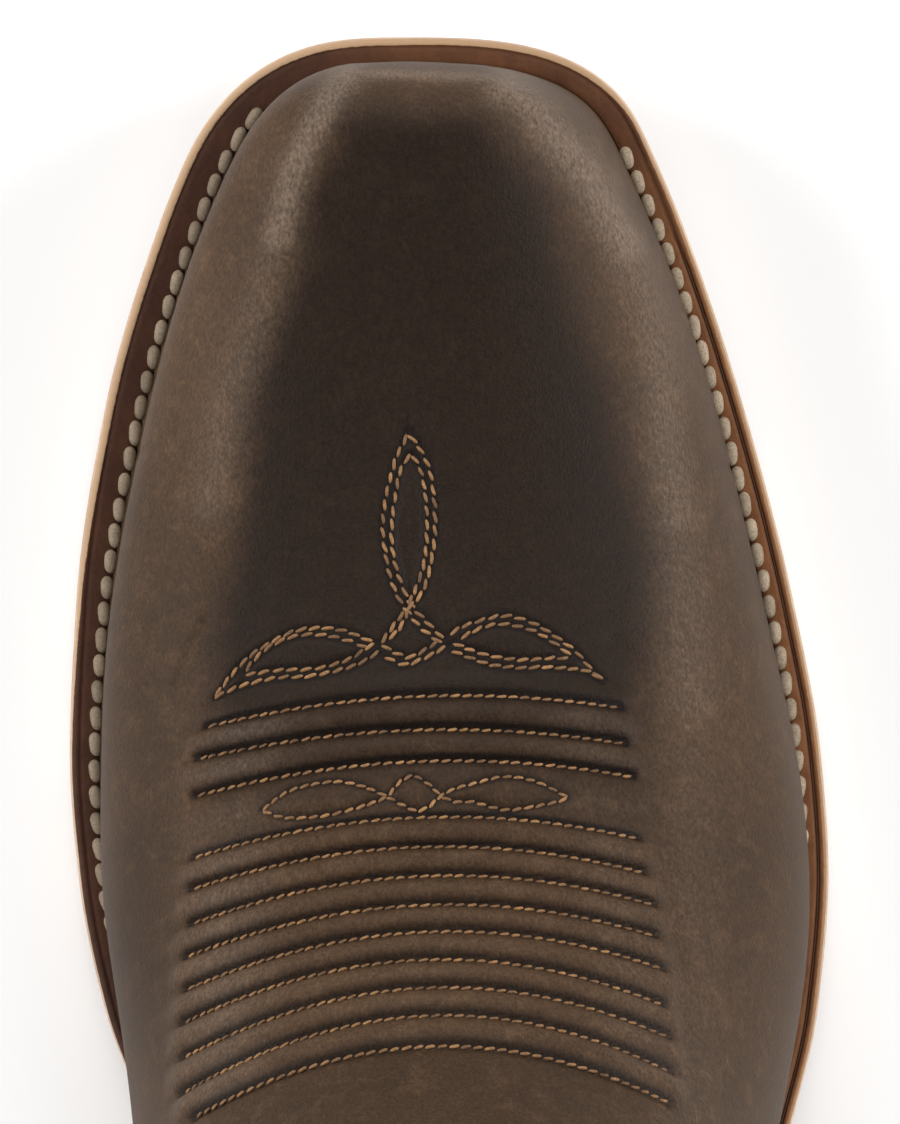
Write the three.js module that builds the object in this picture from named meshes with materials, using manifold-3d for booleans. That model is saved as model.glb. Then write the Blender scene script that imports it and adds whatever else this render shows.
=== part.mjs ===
// Right western boot with a broad square toe, in millimetres, +Z up.
// The toe points along -Y, the lateral side is -X and the medial side is +X.
// The origin is on the floor under the centre of the heel.
// "Along" is the distance from the toe tip of the sole towards the heel.
import * as THREE from "three";
import { mergeVertices } from "three/addons/utils/BufferGeometryUtils.js";
import Module from "manifold-3d";

const wasm = await Module();
wasm.setup();

// Driving dimensions of the sole and heel.
const soleLength = 306;
const ballWidth = 112;
const toeSpring = 13;
const heelHeight = 38.5;
const soleThickness = 5;
const soleEdgeRound = 1;
const heelLength = 72;
const heelTaper = 3.6;
const heelInset = 0.8;
const capThickness = 6.4;
const liftThickness = 5.5;
const heelCentreFromBack = 34;

// Driving dimensions of the welt, insole and upper.
const weltThickness = 3.2;
const weltReach = 5.4;
const weltEdgeInset = 0.45;
const weltBevel = 0.7;
const insoleThickness = 3;
const lastingInset = 18.6;
const wall = 2.4;
const overlay = 1.2;
const counterStep = overlay;
const shaftHeight = 304;
const scallopRise = 38;
const seatInset = 5;
const gap = 0.3;

// Driving dimensions of the piping, binding and straps.
const pipingRadius = 1.3;
const bindingThickness = 0.9;
const bindingStations = 0.35;
const strapWidth = 28;
const strapThickness = 2;
const strapLength = 60;
const loopHeight = 24;
const loopSwell = 6;

// Front end of the upper: where it starts, its middle height above the deck, and the depths
// over which its top, its bottom and its corners reach full size.
const toeTip = 5.2;
const toeCentre = 6.4;
const noseMiddle = 13;
const noseDepth = 12;
const lipDepth = 2;

// Rounded ends of the sole and of the upper's toe.
const toeCornerLateral = 15;
const toeCornerMedial = 20;
const toeCornerLeast = 6;
const upperCornerLateral = 11.5;
const upperCornerMedial = 15.5;
const toeCorner = { lateral: toeCornerLateral, medial: toeCornerMedial, power: 3 };
const upperCorner = { lateral: upperCornerLateral, medial: upperCornerMedial, power: 2.8 };
const heelCorner = { depth: heelCentreFromBack, power: 2.15 };

// Sole outline: shares of sole length along, and of ball width to each side of the axis.
const outlineRows = [
  { along: 0.0, lateral: 0.194, medial: 0.271 },
  { along: 0.088, lateral: 0.304, medial: 0.38 },
  { along: 0.176, lateral: 0.386, medial: 0.453 },
  { along: 0.271, lateral: 0.453, medial: 0.492 },
  { along: 0.343, lateral: 0.488, medial: 0.5 },
  { along: 0.399, lateral: 0.498, medial: 0.489 },
  { along: 0.464, lateral: 0.483, medial: 0.453 },
  { along: 0.523, lateral: 0.444, medial: 0.389 },
  { along: 0.595, lateral: 0.386, medial: 0.314 },
  { along: 0.67, lateral: 0.336, medial: 0.271 },
  { along: 0.752, lateral: 0.309, medial: 0.27 },
  { along: 0.85, lateral: 0.309, medial: 0.298 },
  { along: 1.0, lateral: 0.309, medial: 0.304 },
];

// Underside of the sole: shares of sole length along, and of toe spring and heel height up.
const treadRows = [
  { along: 0.0, toe: 1, heel: 0 },
  { along: 0.098, toe: 0.46, heel: 0 },
  { along: 0.196, toe: 0.11, heel: 0 },
  { along: 0.288, toe: 0, heel: 0 },
  { along: 0.386, toe: 0, heel: 0 },
  { along: 0.49, toe: 0, heel: 0.091 },
  { along: 0.605, toe: 0, heel: 0.351 },
  { along: 0.703, toe: 0, heel: 0.623 },
  { along: 0.784, toe: 0, heel: 0.805 },
  { along: 0.899, toe: 0, heel: 0.935 },
  { along: 1.0, toe: 0, heel: 1 },
];

// Sections of the upper. The ridge is its front and top line, the keel its bottom and back line: both are
// shares of sole length along and of shaft height up, and a keel at 0 lies on the deck of the sole.
// Lateral, medial and lean are shares of ball width. The welt columns are multiples of the welt's reach.
// Widest is the share of the section's height where it is widest, and crown and flank are the powers of
// the rounding above and below that.
const sectionRows = [
  { ridge: 0.017, up: 0.159, keel: 0.017, keelUp: 0, lateral: 0.144, medial: 0.176,
    weltLateral: 1.2, weltMedial: 1.05, lean: 0.054, widest: 0.3, crown: 3, flank: 1 },
  { ridge: 0.088, up: 0.154, keel: 0.088, keelUp: 0, lateral: 0.247, medial: 0.286,
    weltLateral: 1.08, weltMedial: 1.08, lean: 0.054, widest: 0.3, crown: 2.9, flank: 1 },
  { ridge: 0.176, up: 0.154, keel: 0.176, keelUp: 0, lateral: 0.334, medial: 0.364,
    weltLateral: 1.06, weltMedial: 1.07, lean: 0.054, widest: 0.29, crown: 2.8, flank: 1 },
  { ridge: 0.271, up: 0.167, keel: 0.271, keelUp: 0, lateral: 0.397, medial: 0.418,
    weltLateral: 1.03, weltMedial: 0.99, lean: 0.049, widest: 0.27, crown: 2.6, flank: 1 },
  { ridge: 0.343, up: 0.188, keel: 0.343, keelUp: 0, lateral: 0.44, medial: 0.434,
    weltLateral: 1.06, weltMedial: 0.95, lean: 0.042, widest: 0.26, crown: 2.4, flank: 1 },
  { ridge: 0.399, up: 0.215, keel: 0.412, keelUp: 0, lateral: 0.455, medial: 0.433,
    weltLateral: 1.3, weltMedial: 1.02, lean: 0.036, widest: 0.27, crown: 2.25, flank: 1.2 },
  { ridge: 0.448, up: 0.255, keel: 0.477, keelUp: 0, lateral: 0.437, medial: 0.41,
    weltLateral: 1.5, weltMedial: 1.5, lean: 0.028, widest: 0.3, crown: 2.15, flank: 1.4 },
  { ridge: 0.49, up: 0.307, keel: 0.556, keelUp: 0, lateral: 0.398, medial: 0.385,
    weltLateral: 1.3, weltMedial: 1.3, lean: 0.022, widest: 0.36, crown: 2.1, flank: 1.6 },
  { ridge: 0.523, up: 0.363, keel: 0.641, keelUp: 0, lateral: 0.368, medial: 0.365,
    weltLateral: 1, weltMedial: 1, lean: 0.014, widest: 0.42, crown: 2.05, flank: 1.6 },
  { ridge: 0.546, up: 0.428, keel: 0.725, keelUp: 0, lateral: 0.347, medial: 0.339,
    weltLateral: 0.85, weltMedial: 0.85, lean: 0.006, widest: 0.46, crown: 2.05, flank: 1.8 },
  { ridge: 0.56, up: 0.48, keel: 0.81, keelUp: 0, lateral: 0.339, medial: 0.336,
    weltLateral: 0.81, weltMedial: 0.81, lean: 0, widest: 0.46, crown: 2.1, flank: 2 },
  { ridge: 0.569, up: 0.53, keel: 0.889, keelUp: 0, lateral: 0.332, medial: 0.329,
    weltLateral: 0.81, weltMedial: 0.81, lean: 0, widest: 0.46, crown: 2.1, flank: 2.1 },
  { ridge: 0.574, up: 0.572, keel: 0.948, keelUp: 0, lateral: 0.326, medial: 0.323,
    weltLateral: 0.81, weltMedial: 0.81, lean: 0, widest: 0.46, crown: 2.1, flank: 2.3 },
  { ridge: 0.577, up: 0.609, keel: 0.984, keelUp: 0, lateral: 0.323, medial: 0.321,
    weltLateral: 0.81, weltMedial: 0.81, lean: 0, widest: 0.46, crown: 2.1, flank: 2.3 },
  { ridge: 0.578, up: 0.645, keel: 0.992, keelUp: 0.214, lateral: 0.321, medial: 0.321,
    weltLateral: 0.81, weltMedial: 0.81, lean: 0, widest: 0.47, crown: 2.1, flank: 2.3 },
  { ridge: 0.578, up: 0.681, keel: 0.993, keelUp: 0.286, lateral: 0.321, medial: 0.321,
    weltLateral: 0.81, weltMedial: 0.81, lean: 0, widest: 0.47, crown: 2.1, flank: 2.3 },
  { ridge: 0.576, up: 0.724, keel: 0.981, keelUp: 0.378, lateral: 0.325, medial: 0.325,
    weltLateral: 0.81, weltMedial: 0.81, lean: 0, widest: 0.48, crown: 2.1, flank: 2.3 },
  { ridge: 0.572, up: 0.77, keel: 0.969, keelUp: 0.474, lateral: 0.332, medial: 0.332,
    weltLateral: 0.81, weltMedial: 0.81, lean: 0, widest: 0.5, crown: 2.15, flank: 2.25 },
  { ridge: 0.564, up: 0.822, keel: 0.969, keelUp: 0.586, lateral: 0.344, medial: 0.344,
    weltLateral: 0.81, weltMedial: 0.81, lean: 0, widest: 0.5, crown: 2.2, flank: 2.2 },
  { ridge: 0.552, up: 0.882, keel: 0.977, keelUp: 0.704, lateral: 0.357, medial: 0.357,
    weltLateral: 0.81, weltMedial: 0.81, lean: 0, widest: 0.5, crown: 2.2, flank: 2.2 },
  { ridge: 0.539, up: 0.941, keel: 0.99, keelUp: 0.842, lateral: 0.371, medial: 0.371,
    weltLateral: 0.81, weltMedial: 0.81, lean: 0, widest: 0.5, crown: 2.2, flank: 2.2 },
  { ridge: 0.524, up: 1, keel: 1.003, keelUp: 1, lateral: 0.384, medial: 0.384,
    weltLateral: 0.81, weltMedial: 0.81, lean: 0, widest: 0.5, crown: 2.2, flank: 2.2 },
];
const heelRow = sectionRows.findIndex((row) => row.keelUp > 0) - 1;
const topRow = sectionRows.length - 1;
const scallopFrom = heelRow + 3.5;
const scallopPower = 1.15;
const seatEnd = soleLength - seatInset;

// Edges in the side view: shares of sole length along and of shaft height up.
const seamRows = [
  { along: 0.7, up: 0.08 },
  { along: 0.706, up: 0.197 },
  { along: 0.726, up: 0.362 },
  { along: 0.748, up: 0.592 },
  { along: 0.762, up: 0.82 },
  { along: 0.768, up: 1.02 },
];
const vampEdgeRows = [
  { along: 0.706, up: 0.197 },
  { along: 0.668, up: 0.214 },
  { along: 0.634, up: 0.255 },
  { along: 0.608, up: 0.33 },
  { along: 0.592, up: 0.42 },
  { along: 0.578, up: 0.51 },
  { along: 0.564, up: 0.56 },
];
const counterEdgeRows = [
  { along: 0.706, up: 0.197 },
  { along: 0.76, up: 0.214 },
  { along: 0.83, up: 0.262 },
  { along: 0.9, up: 0.327 },
  { along: 0.96, up: 0.366 },
  { along: 1.06, up: 0.375 },
];

// Mesh fineness.
const outlineSteps = 34;
const heelSteps = 12;
const crownSteps = 9;
const flankSteps = 5;
const outerStations = [
  0.004, 0.015, 0.04, 0.09, 0.17, 0.28, 0.42, 0.6, 0.8, 1.1, 1.5, 2, 2.5, 3, 3.5, 4, 4.4, 4.8,
  5.2, 5.6, 6, 6.4, 6.9, 7.5, 8, 8.5, 9, 9.3, 9.6, 10, 10.6, 11.3, 11.9, 12.5, 13, 13.6, 14.5, 15.5, 16.5,
  17.5, 18.5, 19.3, 20, 20.65, 21,
];
const innerStations = [
  0.004, 0.03, 0.1, 0.22, 0.42, 0.7, 1.1, 1.8, 2.6, 3.4, 4.2, 4.9, 5.6, 6.4, 7.2, 8, 8.7, 9.3, 10,
  10.7, 11.5, 12.3, 13, 14, 15.2, 16.5, 17.5, 18.5, 19.3, 20, 20.65, 21,
];

// Natural cubic through evenly spaced values.
function cubicThrough(values) {
  const n = values.length;
  const factor = new Array(n).fill(0);
  const carried = new Array(n).fill(0);
  const bend = new Array(n).fill(0);
  for (let i = 1; i < n - 1; i++) {
    const pivot = 4 - factor[i - 1];
    factor[i] = 1 / pivot;
    carried[i] = (6 * (values[i + 1] - 2 * values[i] + values[i - 1]) - carried[i - 1]) / pivot;
  }
  for (let i = n - 2; i > 0; i--) bend[i] = carried[i] - factor[i] * bend[i + 1];
  return (t) => {
    const i = Math.min(Math.max(Math.floor(t), 0), n - 2);
    const b = t - i;
    const a = 1 - b;
    const curve = (a ** 3 - a) * bend[i] + (b ** 3 - b) * bend[i + 1];
    return a * values[i] + b * values[i + 1] + curve / 6;
  };
}

// Monotone cubic through values at their own stations, so that level stretches stay level.
function monotoneThrough(stations, values) {
  const n = stations.length;
  const step = stations.slice(1).map((x, i) => x - stations[i]);
  const rise = values.slice(1).map((v, i) => (v - values[i]) / step[i]);
  const slope = values.map((v, i) => {
    if (i === 0) return rise[0];
    if (i === n - 1) return rise[n - 2];
    if (rise[i - 1] * rise[i] <= 0) return 0;
    const before = 2 * step[i] + step[i - 1];
    const after = step[i] + 2 * step[i - 1];
    return (before + after) / (before / rise[i - 1] + after / rise[i]);
  });
  return (x) => {
    let i = 0;
    while (i < n - 2 && x > stations[i + 1]) i++;
    const u = (x - stations[i]) / step[i];
    const v = 1 - u;
    const ends = v * v * (1 + 2 * u) * values[i] + u * u * (3 - 2 * u) * values[i + 1];
    return ends + step[i] * (u * v * v * slope[i] - u * u * v * slope[i + 1]);
  };
}

// Share of full size at a distance from a rounded end, reaching 1 at the given depth.
function closure(distance, depth, power) {
  const u = Math.min(Math.max(distance / depth, 0), 1);
  return (1 - (1 - u) ** power) ** (1 / power);
}

// Gentle step from 0 to 1.
function ease(u) {
  const v = Math.min(Math.max(u, 0), 1);
  return v * v * (3 - 2 * v);
}

const column = (rows, name) => rows.map((row) => row[name]);
const outlineAlong = column(outlineRows, "along");
const outlineShare = {
  lateral: monotoneThrough(outlineAlong, column(outlineRows, "lateral")),
  medial: monotoneThrough(outlineAlong, column(outlineRows, "medial")),
};
const treadAlong = column(treadRows, "along");
const treadToe = monotoneThrough(treadAlong, column(treadRows, "toe"));
const treadHeel = monotoneThrough(treadAlong, column(treadRows, "heel"));
const signOf = { lateral: -1, medial: 1 };
const yOf = (along) => along - soleLength + heelCentreFromBack;

// Height of the sole's underside, and of the deck that the welt and the upper stand on.
function treadZ(along) {
  const share = Math.min(Math.max(along / soleLength, 0), 1);
  return toeSpring * treadToe(share) + heelHeight * treadHeel(share);
}
const deckZ = (along) => treadZ(along) + soleThickness + gap;

// Half width of the sole before its ends are rounded off.
function openHalf(side, along) {
  return ballWidth * outlineShare[side](Math.min(Math.max(along / soleLength, 0), 1));
}

// One side of the sole outline moved inwards, from the toe or a breast line to the heel, as x and along.
function outlineSide(side, inset, steps = outlineSteps, breast = 0) {
  const length = soleLength - 2 * inset;
  const fromAngle = breast > 0 ? Math.acos(1 - (2 * (breast - inset)) / length) : 0;
  const lead = breast > 0 ? 0 : 0.5;
  const points = [];
  for (let i = 0; i < steps; i++) {
    const angle = fromAngle + ((i + lead) / (steps + lead - 0.5)) * (Math.PI - fromAngle);
    const travelled = (length * (1 - Math.cos(angle))) / 2;
    const along = inset + travelled;
    const reach = Math.max(toeCorner[side] - 0.7 * inset, toeCornerLeast);
    const toe = closure(travelled, reach, toeCorner.power);
    const heel = closure(length - travelled, heelCorner.depth - inset, heelCorner.power);
    const half = signOf[side] * (openHalf(side, along) - inset);
    points.push(new THREE.Vector2((toeCentre + (half - toeCentre) * toe) * heel, along));
  }
  return points;
}

// A closed ring of the outline: the lateral side to the heel, then the medial side back.
function outlineRing(inset, height, steps = outlineSteps, breast = 0) {
  const lateral = outlineSide("lateral", inset, steps, breast);
  const medial = outlineSide("medial", inset, steps, breast).reverse();
  return [...lateral, ...medial].map((p) => new THREE.Vector3(p.x, yOf(p.y), height(p.y)));
}

// A solid from points and triangles, with collapsed triangles left out.
function solidFrom(points, triangles) {
  const flat = new Float32Array(points.flatMap((p) => [p.x, p.y, p.z]));
  const geometry = new THREE.BufferGeometry();
  geometry.setAttribute("position", new THREE.BufferAttribute(flat, 3));
  geometry.setIndex(triangles.flat());
  const merged = mergeVertices(geometry, 1e-4);
  const index = merged.index.array;
  const kept = [];
  for (let i = 0; i < index.length; i += 3) {
    const [a, b, c] = [index[i], index[i + 1], index[i + 2]];
    if (a !== b && b !== c && c !== a) kept.push(a, b, c);
  }
  const vertProperties = merged.attributes.position.array;
  const made = new wasm.Manifold(
    new wasm.Mesh({ numProp: 3, vertProperties, triVerts: new Uint32Array(kept) }),
  );
  if (made.volume() > 0) return made;
  const turned = new Uint32Array(kept.length);
  for (let i = 0; i < kept.length; i += 3) turned.set([kept[i], kept[i + 2], kept[i + 1]], i);
  return new wasm.Manifold(new wasm.Mesh({ numProp: 3, vertProperties, triVerts: turned }));
}

// Quads between neighbouring rings of equal size.
function ringWalls(size, count, closed) {
  const triangles = [];
  const last = closed ? count : count - 1;
  for (let r = 0; r < last; r++) {
    const here = r * size;
    const next = ((r + 1) % count) * size;
    for (let i = 0; i < size; i++) {
      const j = (i + 1) % size;
      triangles.push([here + i, here + j, next + j], [here + i, next + j, next + i]);
    }
  }
  return triangles;
}

// Flat strips that close a ring, joining each point to its partner on the other side.
function ringCap(size, first, turned, partner) {
  const triangles = [];
  const add = (a, b, c) => {
    if (new Set([a, b, c]).size === 3) triangles.push(turned ? [a, c, b] : [a, b, c]);
  };
  for (let i = 0; i < size / 2; i++) {
    const [a, b, c, d] = [i, i + 1, partner(i + 1), partner(i)].map((k) => first + k);
    add(a, b, c);
    add(a, c, d);
  }
  return triangles;
}

// A solid through rings whose points pair up as first with last.
function slab(rings) {
  const size = rings[0].length;
  const partner = (i) => size - 1 - i;
  const walls = ringWalls(size, rings.length, false);
  const bottom = ringCap(size, 0, true, partner).slice(0, size - 2);
  const top = ringCap(size, (rings.length - 1) * size, false, partner).slice(0, size - 2);
  return solidFrom(rings.flat(), [...walls, ...bottom, ...top]);
}

// A solid through rings that start on the ridge, so that their points pair up across it.
function skin(rings) {
  const size = rings[0].length;
  const partner = (i) => (size - i) % size;
  const walls = ringWalls(size, rings.length, false);
  const bottom = ringCap(size, 0, true, partner);
  const top = ringCap(size, (rings.length - 1) * size, false, partner);
  return solidFrom(rings.flat(), [...walls, ...bottom, ...top]);
}

// A prism across the whole boot, from an outline in the side view.
function sidePrism(outline) {
  const shape = new THREE.Shape(outline.map((p) => new THREE.Vector2(p.x, p.y)));
  const extruded = new THREE.ExtrudeGeometry(shape, { depth: 2 * ballWidth, bevelEnabled: false });
  extruded.deleteAttribute("normal");
  extruded.deleteAttribute("uv");
  const merged = mergeVertices(extruded, 1e-4);
  const position = merged.attributes.position;
  const points = [];
  for (let i = 0; i < position.count; i++) {
    const p = new THREE.Vector3().fromBufferAttribute(position, i);
    points.push(new THREE.Vector3(p.z - ballWidth, yOf(p.x), p.y));
  }
  const index = merged.index ? [...merged.index.array] : points.map((p, i) => i);
  const triangles = [];
  for (let i = 0; i < index.length; i += 3) triangles.push(index.slice(i, i + 3));
  return solidFrom(points, triangles);
}

// Side lines and sizes of the sections by row.
const inLength = (name) => column(sectionRows, name).map((v) => v * soleLength);
const inHeight = (name) => column(sectionRows, name).map((v) => v * shaftHeight);
const inWidth = (name) => column(sectionRows, name).map((v) => v * ballWidth);
const ridgeAlong = cubicThrough(inLength("ridge"));
const ridgeUp = cubicThrough(inHeight("up"));
const keelFront = cubicThrough(inLength("keel").slice(0, heelRow + 1));
const keelBack = cubicThrough(inLength("keel").slice(heelRow));
const heelSeatZ = deckZ(sectionRows[heelRow].keel * soleLength);
const keelBackUp = cubicThrough([heelSeatZ, ...inHeight("keelUp").slice(heelRow + 1)]);
const halfOf = { lateral: cubicThrough(inWidth("lateral")), medial: cubicThrough(inWidth("medial")) };
const weltOf = {
  lateral: cubicThrough(column(sectionRows, "weltLateral")),
  medial: cubicThrough(column(sectionRows, "weltMedial")),
};
const leanOf = cubicThrough(inWidth("lean"));
const widestOf = cubicThrough(column(sectionRows, "widest"));
const crownOf = cubicThrough(column(sectionRows, "crown"));
const flankOf = cubicThrough(column(sectionRows, "flank"));

// One section of the upper, moved outwards by a distance.
function sectionAt(t, grow) {
  const step = 0.01;
  const ahead = Math.min(t + step, topRow);
  const behind = Math.max(t - step, 0);
  const runAlong = ridgeAlong(ahead) - ridgeAlong(behind);
  const runUp = ridgeUp(ahead) - ridgeUp(behind);
  const run = Math.hypot(runAlong, runUp);
  const level = ease((t - scallopFrom) / 2);
  const out = new THREE.Vector2(-runUp / run, runAlong / run).lerp(new THREE.Vector2(-1, 0), level);
  const toeShift = grow * Math.max(1 - t, 0);
  const onSole = t < heelRow;
  const keelAlong = onSole ? keelFront(t) : keelBack(t - heelRow);
  const keelZ = onSole ? deckZ(keelAlong) : keelBackUp(t - heelRow);
  const ridge = new THREE.Vector2(
    ridgeAlong(t) - toeShift + grow * out.x,
    ridgeUp(t) + grow * out.y,
  );
  const keel = new THREE.Vector2(
    keelAlong - toeShift + grow * ease(t - heelRow + 1),
    keelZ - grow * (1 - ease(t - heelRow)),
  );
  const travelled = ridge.x - (toeTip - grow);
  const nose = deckZ(toeTip) + noseMiddle;
  ridge.y = nose + (ridge.y - nose) * closure(travelled, noseDepth + grow, 2.3);
  keel.y = nose + (keel.y - nose) * closure(travelled, lipDepth, 2);
  const half = {};
  const feather = {};
  const toe = {};
  for (const side of ["lateral", "medial"]) {
    const seat = onSole ? closure(seatEnd - keelAlong, heelCorner.depth, heelCorner.power) : 0;
    half[side] = halfOf[side](t) + grow;
    feather[side] = (openHalf(side, keelAlong) - weltReach * weltOf[side](t) + grow) * seat;
    toe[side] = closure(travelled, upperCorner[side] + grow, upperCorner.power);
  }
  const up = ridge.clone().sub(keel);
  const height = up.length();
  up.divideScalar(height);
  const lift = scallopRise * ease((t - scallopFrom) / (topRow - scallopFrom));
  return {
    ridge, keel, up, height, half, feather, toe, lift, grow,
    waist: widestOf(t) * height, lean: leanOf(t), crown: crownOf(t), flank: flankOf(t),
  };
}

// Rise of the collar's sides over its front and back, fading out down the shaft.
function scallop(section, h) {
  const across = (h - section.grow) / (section.height - 2 * section.grow);
  return section.lift * Math.sin(Math.PI * Math.min(Math.max(across, 0), 1)) ** scallopPower;
}

// A point of a section, from its offset across and its height up the section.
function sectionPoint(section, side, x, h) {
  const above = Math.max(h - section.waist, 0) / (section.height - section.waist);
  const closing = side ? section.toe[side] : (section.toe.lateral + section.toe.medial) / 2;
  const across = (side ? signOf[side] * x : 0) + section.lean * above;
  const place = section.keel.clone().addScaledVector(section.up, h);
  return new THREE.Vector3(
    toeCentre + (across - toeCentre) * closing,
    yOf(place.x),
    place.y + scallop(section, h),
  );
}

// One side of a section from its ridge to its feather, as offsets across and heights.
function sideProfile(section, side) {
  const { height, waist, crown, flank } = section;
  const half = section.half[side];
  const feather = section.feather[side];
  const points = [];
  for (let i = 1; i <= crownSteps; i++) {
    const angle = ((i / crownSteps) * Math.PI) / 2;
    const h = waist + (height - waist) * Math.max(Math.cos(angle), 0) ** (2 / crown);
    points.push({ x: half * Math.sin(angle) ** (2 / crown), h });
  }
  for (let i = 1; i <= flankSteps; i++) {
    const angle = ((i / flankSteps) * Math.PI) / 2;
    const x = feather + (half - feather) * Math.max(Math.cos(angle), 0) ** (2 / flank);
    points.push({ x, h: waist * (1 - Math.sin(angle) ** (2 / flank)) });
  }
  return points;
}

// A closed ring of the upper: from the ridge down the lateral side, across and up the medial side.
function sectionRing(t, grow) {
  const section = sectionAt(t, grow);
  const sideRing = (side) => {
    return sideProfile(section, side).map((p) => sectionPoint(section, side, p.x, p.h));
  };
  const top = sectionPoint(section, null, 0, section.height);
  const bottom = sectionPoint(section, null, 0, 0);
  return [top, ...sideRing("lateral"), bottom, ...sideRing("medial").reverse()];
}

// The upper's form moved outwards by a distance, between two rows.
function grownForm(grow, stations, from = 0, to = topRow) {
  const used = stations.filter((t) => t >= from && t <= to);
  return used.map((t) => sectionRing(t, grow));
}

// Half width of the upper's outside at a place in the side view, for its heel half and shaft.
function halfAt(side, along, z, grow = 0) {
  const place = (t) => {
    const section = sectionAt(t, grow);
    const h = (along - section.keel.x) / section.up.x;
    const kept = Math.min(Math.max(h, 0), section.height);
    return { section, h: kept, z: section.keel.y + section.up.y * kept + scallop(section, kept) };
  };
  let low = 8.5;
  let high = topRow;
  for (let i = 0; i < 40; i++) {
    const middle = (low + high) / 2;
    if (place(middle).z < z) low = middle;
    else high = middle;
  }
  const { section, h } = place((low + high) / 2);
  const profile = [{ x: 0, h: section.height }, ...sideProfile(section, side)];
  const below = Math.max(profile.findIndex((p) => p.h <= h + 1e-6), 1);
  const [upper, lower] = [profile[below - 1], profile[below]];
  return lower.x + ((upper.x - lower.x) * (h - lower.h)) / (upper.h - lower.h);
}

// Side-view outlines.
const sidePlace = (row) => new THREE.Vector2(row.along * soleLength, row.up * shaftHeight);
function deckLine(from, to) {
  const count = Math.ceil((to - from) / 8);
  const points = [];
  for (let i = 0; i <= count; i++) {
    const along = from + ((to - from) * i) / count;
    points.push(new THREE.Vector2(along, deckZ(along)));
  }
  return points;
}
function smoothEdge(rows, steps) {
  const curve = new THREE.SplineCurve(rows.map(sidePlace));
  return curve.getPoints(steps);
}
const seamFoot = seamRows[1].along * soleLength;

// Outsole.
const tread = (rise) => (along) => treadZ(along) + rise;
const outsole = slab([
  outlineRing(soleEdgeRound, tread(0)),
  outlineRing(0, tread(soleEdgeRound)),
  outlineRing(0, tread(soleThickness - 0.4)),
  outlineRing(0.4, tread(soleThickness)),
]);

// Heel: a rubber cap and leather lifts, the highest one a wedge under the seat.
const breast = soleLength - heelLength;
function heelLayer(bottom, top) {
  const insetAt = (z) => heelInset + heelTaper * (1 - z / heelHeight);
  const level = (z) => outlineRing(insetAt(z), () => z, heelSteps, breast);
  if (top !== undefined) return slab([level(bottom), level(top)]);
  const underSeat = (along) => treadZ(along) - gap;
  return slab([level(bottom), outlineRing(heelInset, underSeat, heelSteps, breast)]);
}
const liftFoot = (count) => capThickness + gap + count * (liftThickness + gap);
const heelCap = heelLayer(0, capThickness);
const levelLifts = [0, 1, 2].map((count) => heelLayer(liftFoot(count), liftFoot(count) + liftThickness));
const wedgeLift = heelLayer(liftFoot(3));

// Welt, from breast to breast around the toe, cut from the upper's own form.
const deck = (rise) => (along) => deckZ(along) + rise;
const behindBreast = sidePrism([
  new THREE.Vector2(breast, -heelHeight),
  new THREE.Vector2(soleLength + ballWidth, -heelHeight),
  new THREE.Vector2(soleLength + ballWidth, shaftHeight),
  new THREE.Vector2(breast, shaftHeight),
]);
const weltClearance = skin(grownForm(overlay + gap, outerStations, 0, heelRow + 1.5));
const welt = slab([
  outlineRing(weltEdgeInset, deck(0)),
  outlineRing(weltEdgeInset, deck(weltThickness - weltBevel)),
  outlineRing(weltEdgeInset + weltBevel, deck(weltThickness)),
]).subtract(weltClearance).subtract(behindBreast);

// Upper: a shell open at the collar and underneath, with the vamp standing out from the shaft.
const outside = skin(grownForm(0, outerStations));
const innerRings = grownForm(-wall, innerStations);
const raised = innerRings[innerRings.length - 1].map((p) => p.clone().setZ(p.z + wall * 4));
const inside = skin([...innerRings, raised]);
const vampOutline = [
  ...deckLine(-wall, seamFoot),
  ...smoothEdge(vampEdgeRows, 16),
  new THREE.Vector2(seamFoot / 2, vampEdgeRows[vampEdgeRows.length - 1].up * shaftHeight),
  new THREE.Vector2(-wall, shaftHeight / 3),
];
const vamp = skin(grownForm(overlay, outerStations, 0, scallopFrom)).intersect(sidePrism(vampOutline));
const opening = slab([
  outlineRing(lastingInset, deck(-wall)),
  outlineRing(lastingInset, deck(2 * wall)),
]);
const upper = outside.add(vamp).subtract(inside).subtract(opening);

// Counter over the heel half of the upper.
const counterOutline = [
  ...deckLine(seamFoot + gap, soleLength + 2 * heelInset * wall),
  new THREE.Vector2(soleLength + ballWidth / 4, deckZ(soleLength)),
  ...smoothEdge(counterEdgeRows, 16).reverse().slice(0, -1),
  new THREE.Vector2(seamFoot + gap, counterEdgeRows[0].up * shaftHeight),
];
const counterStart = heelRow - 5;
const counterEnd = topRow - 2.5;
const counter = skin(grownForm(counterStep, outerStations, counterStart, counterEnd))
  .subtract(skin(grownForm(gap, outerStations, counterStart, counterEnd)))
  .intersect(sidePrism(counterOutline));

// Insole: a board inside the upper's lower edge, with a filler under it.
const insoleFoot = wall + gap;
const insole = slab([
  outlineRing(weltReach, deck(insoleFoot - gap)),
  outlineRing(weltReach, deck(insoleFoot + insoleThickness)),
])
  .intersect(skin(grownForm(-wall - gap, innerStations)))
  .add(slab([
    outlineRing(lastingInset + gap, deck(0)),
    outlineRing(lastingInset + gap, deck(insoleFoot + insoleThickness / 2)),
  ]));

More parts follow.
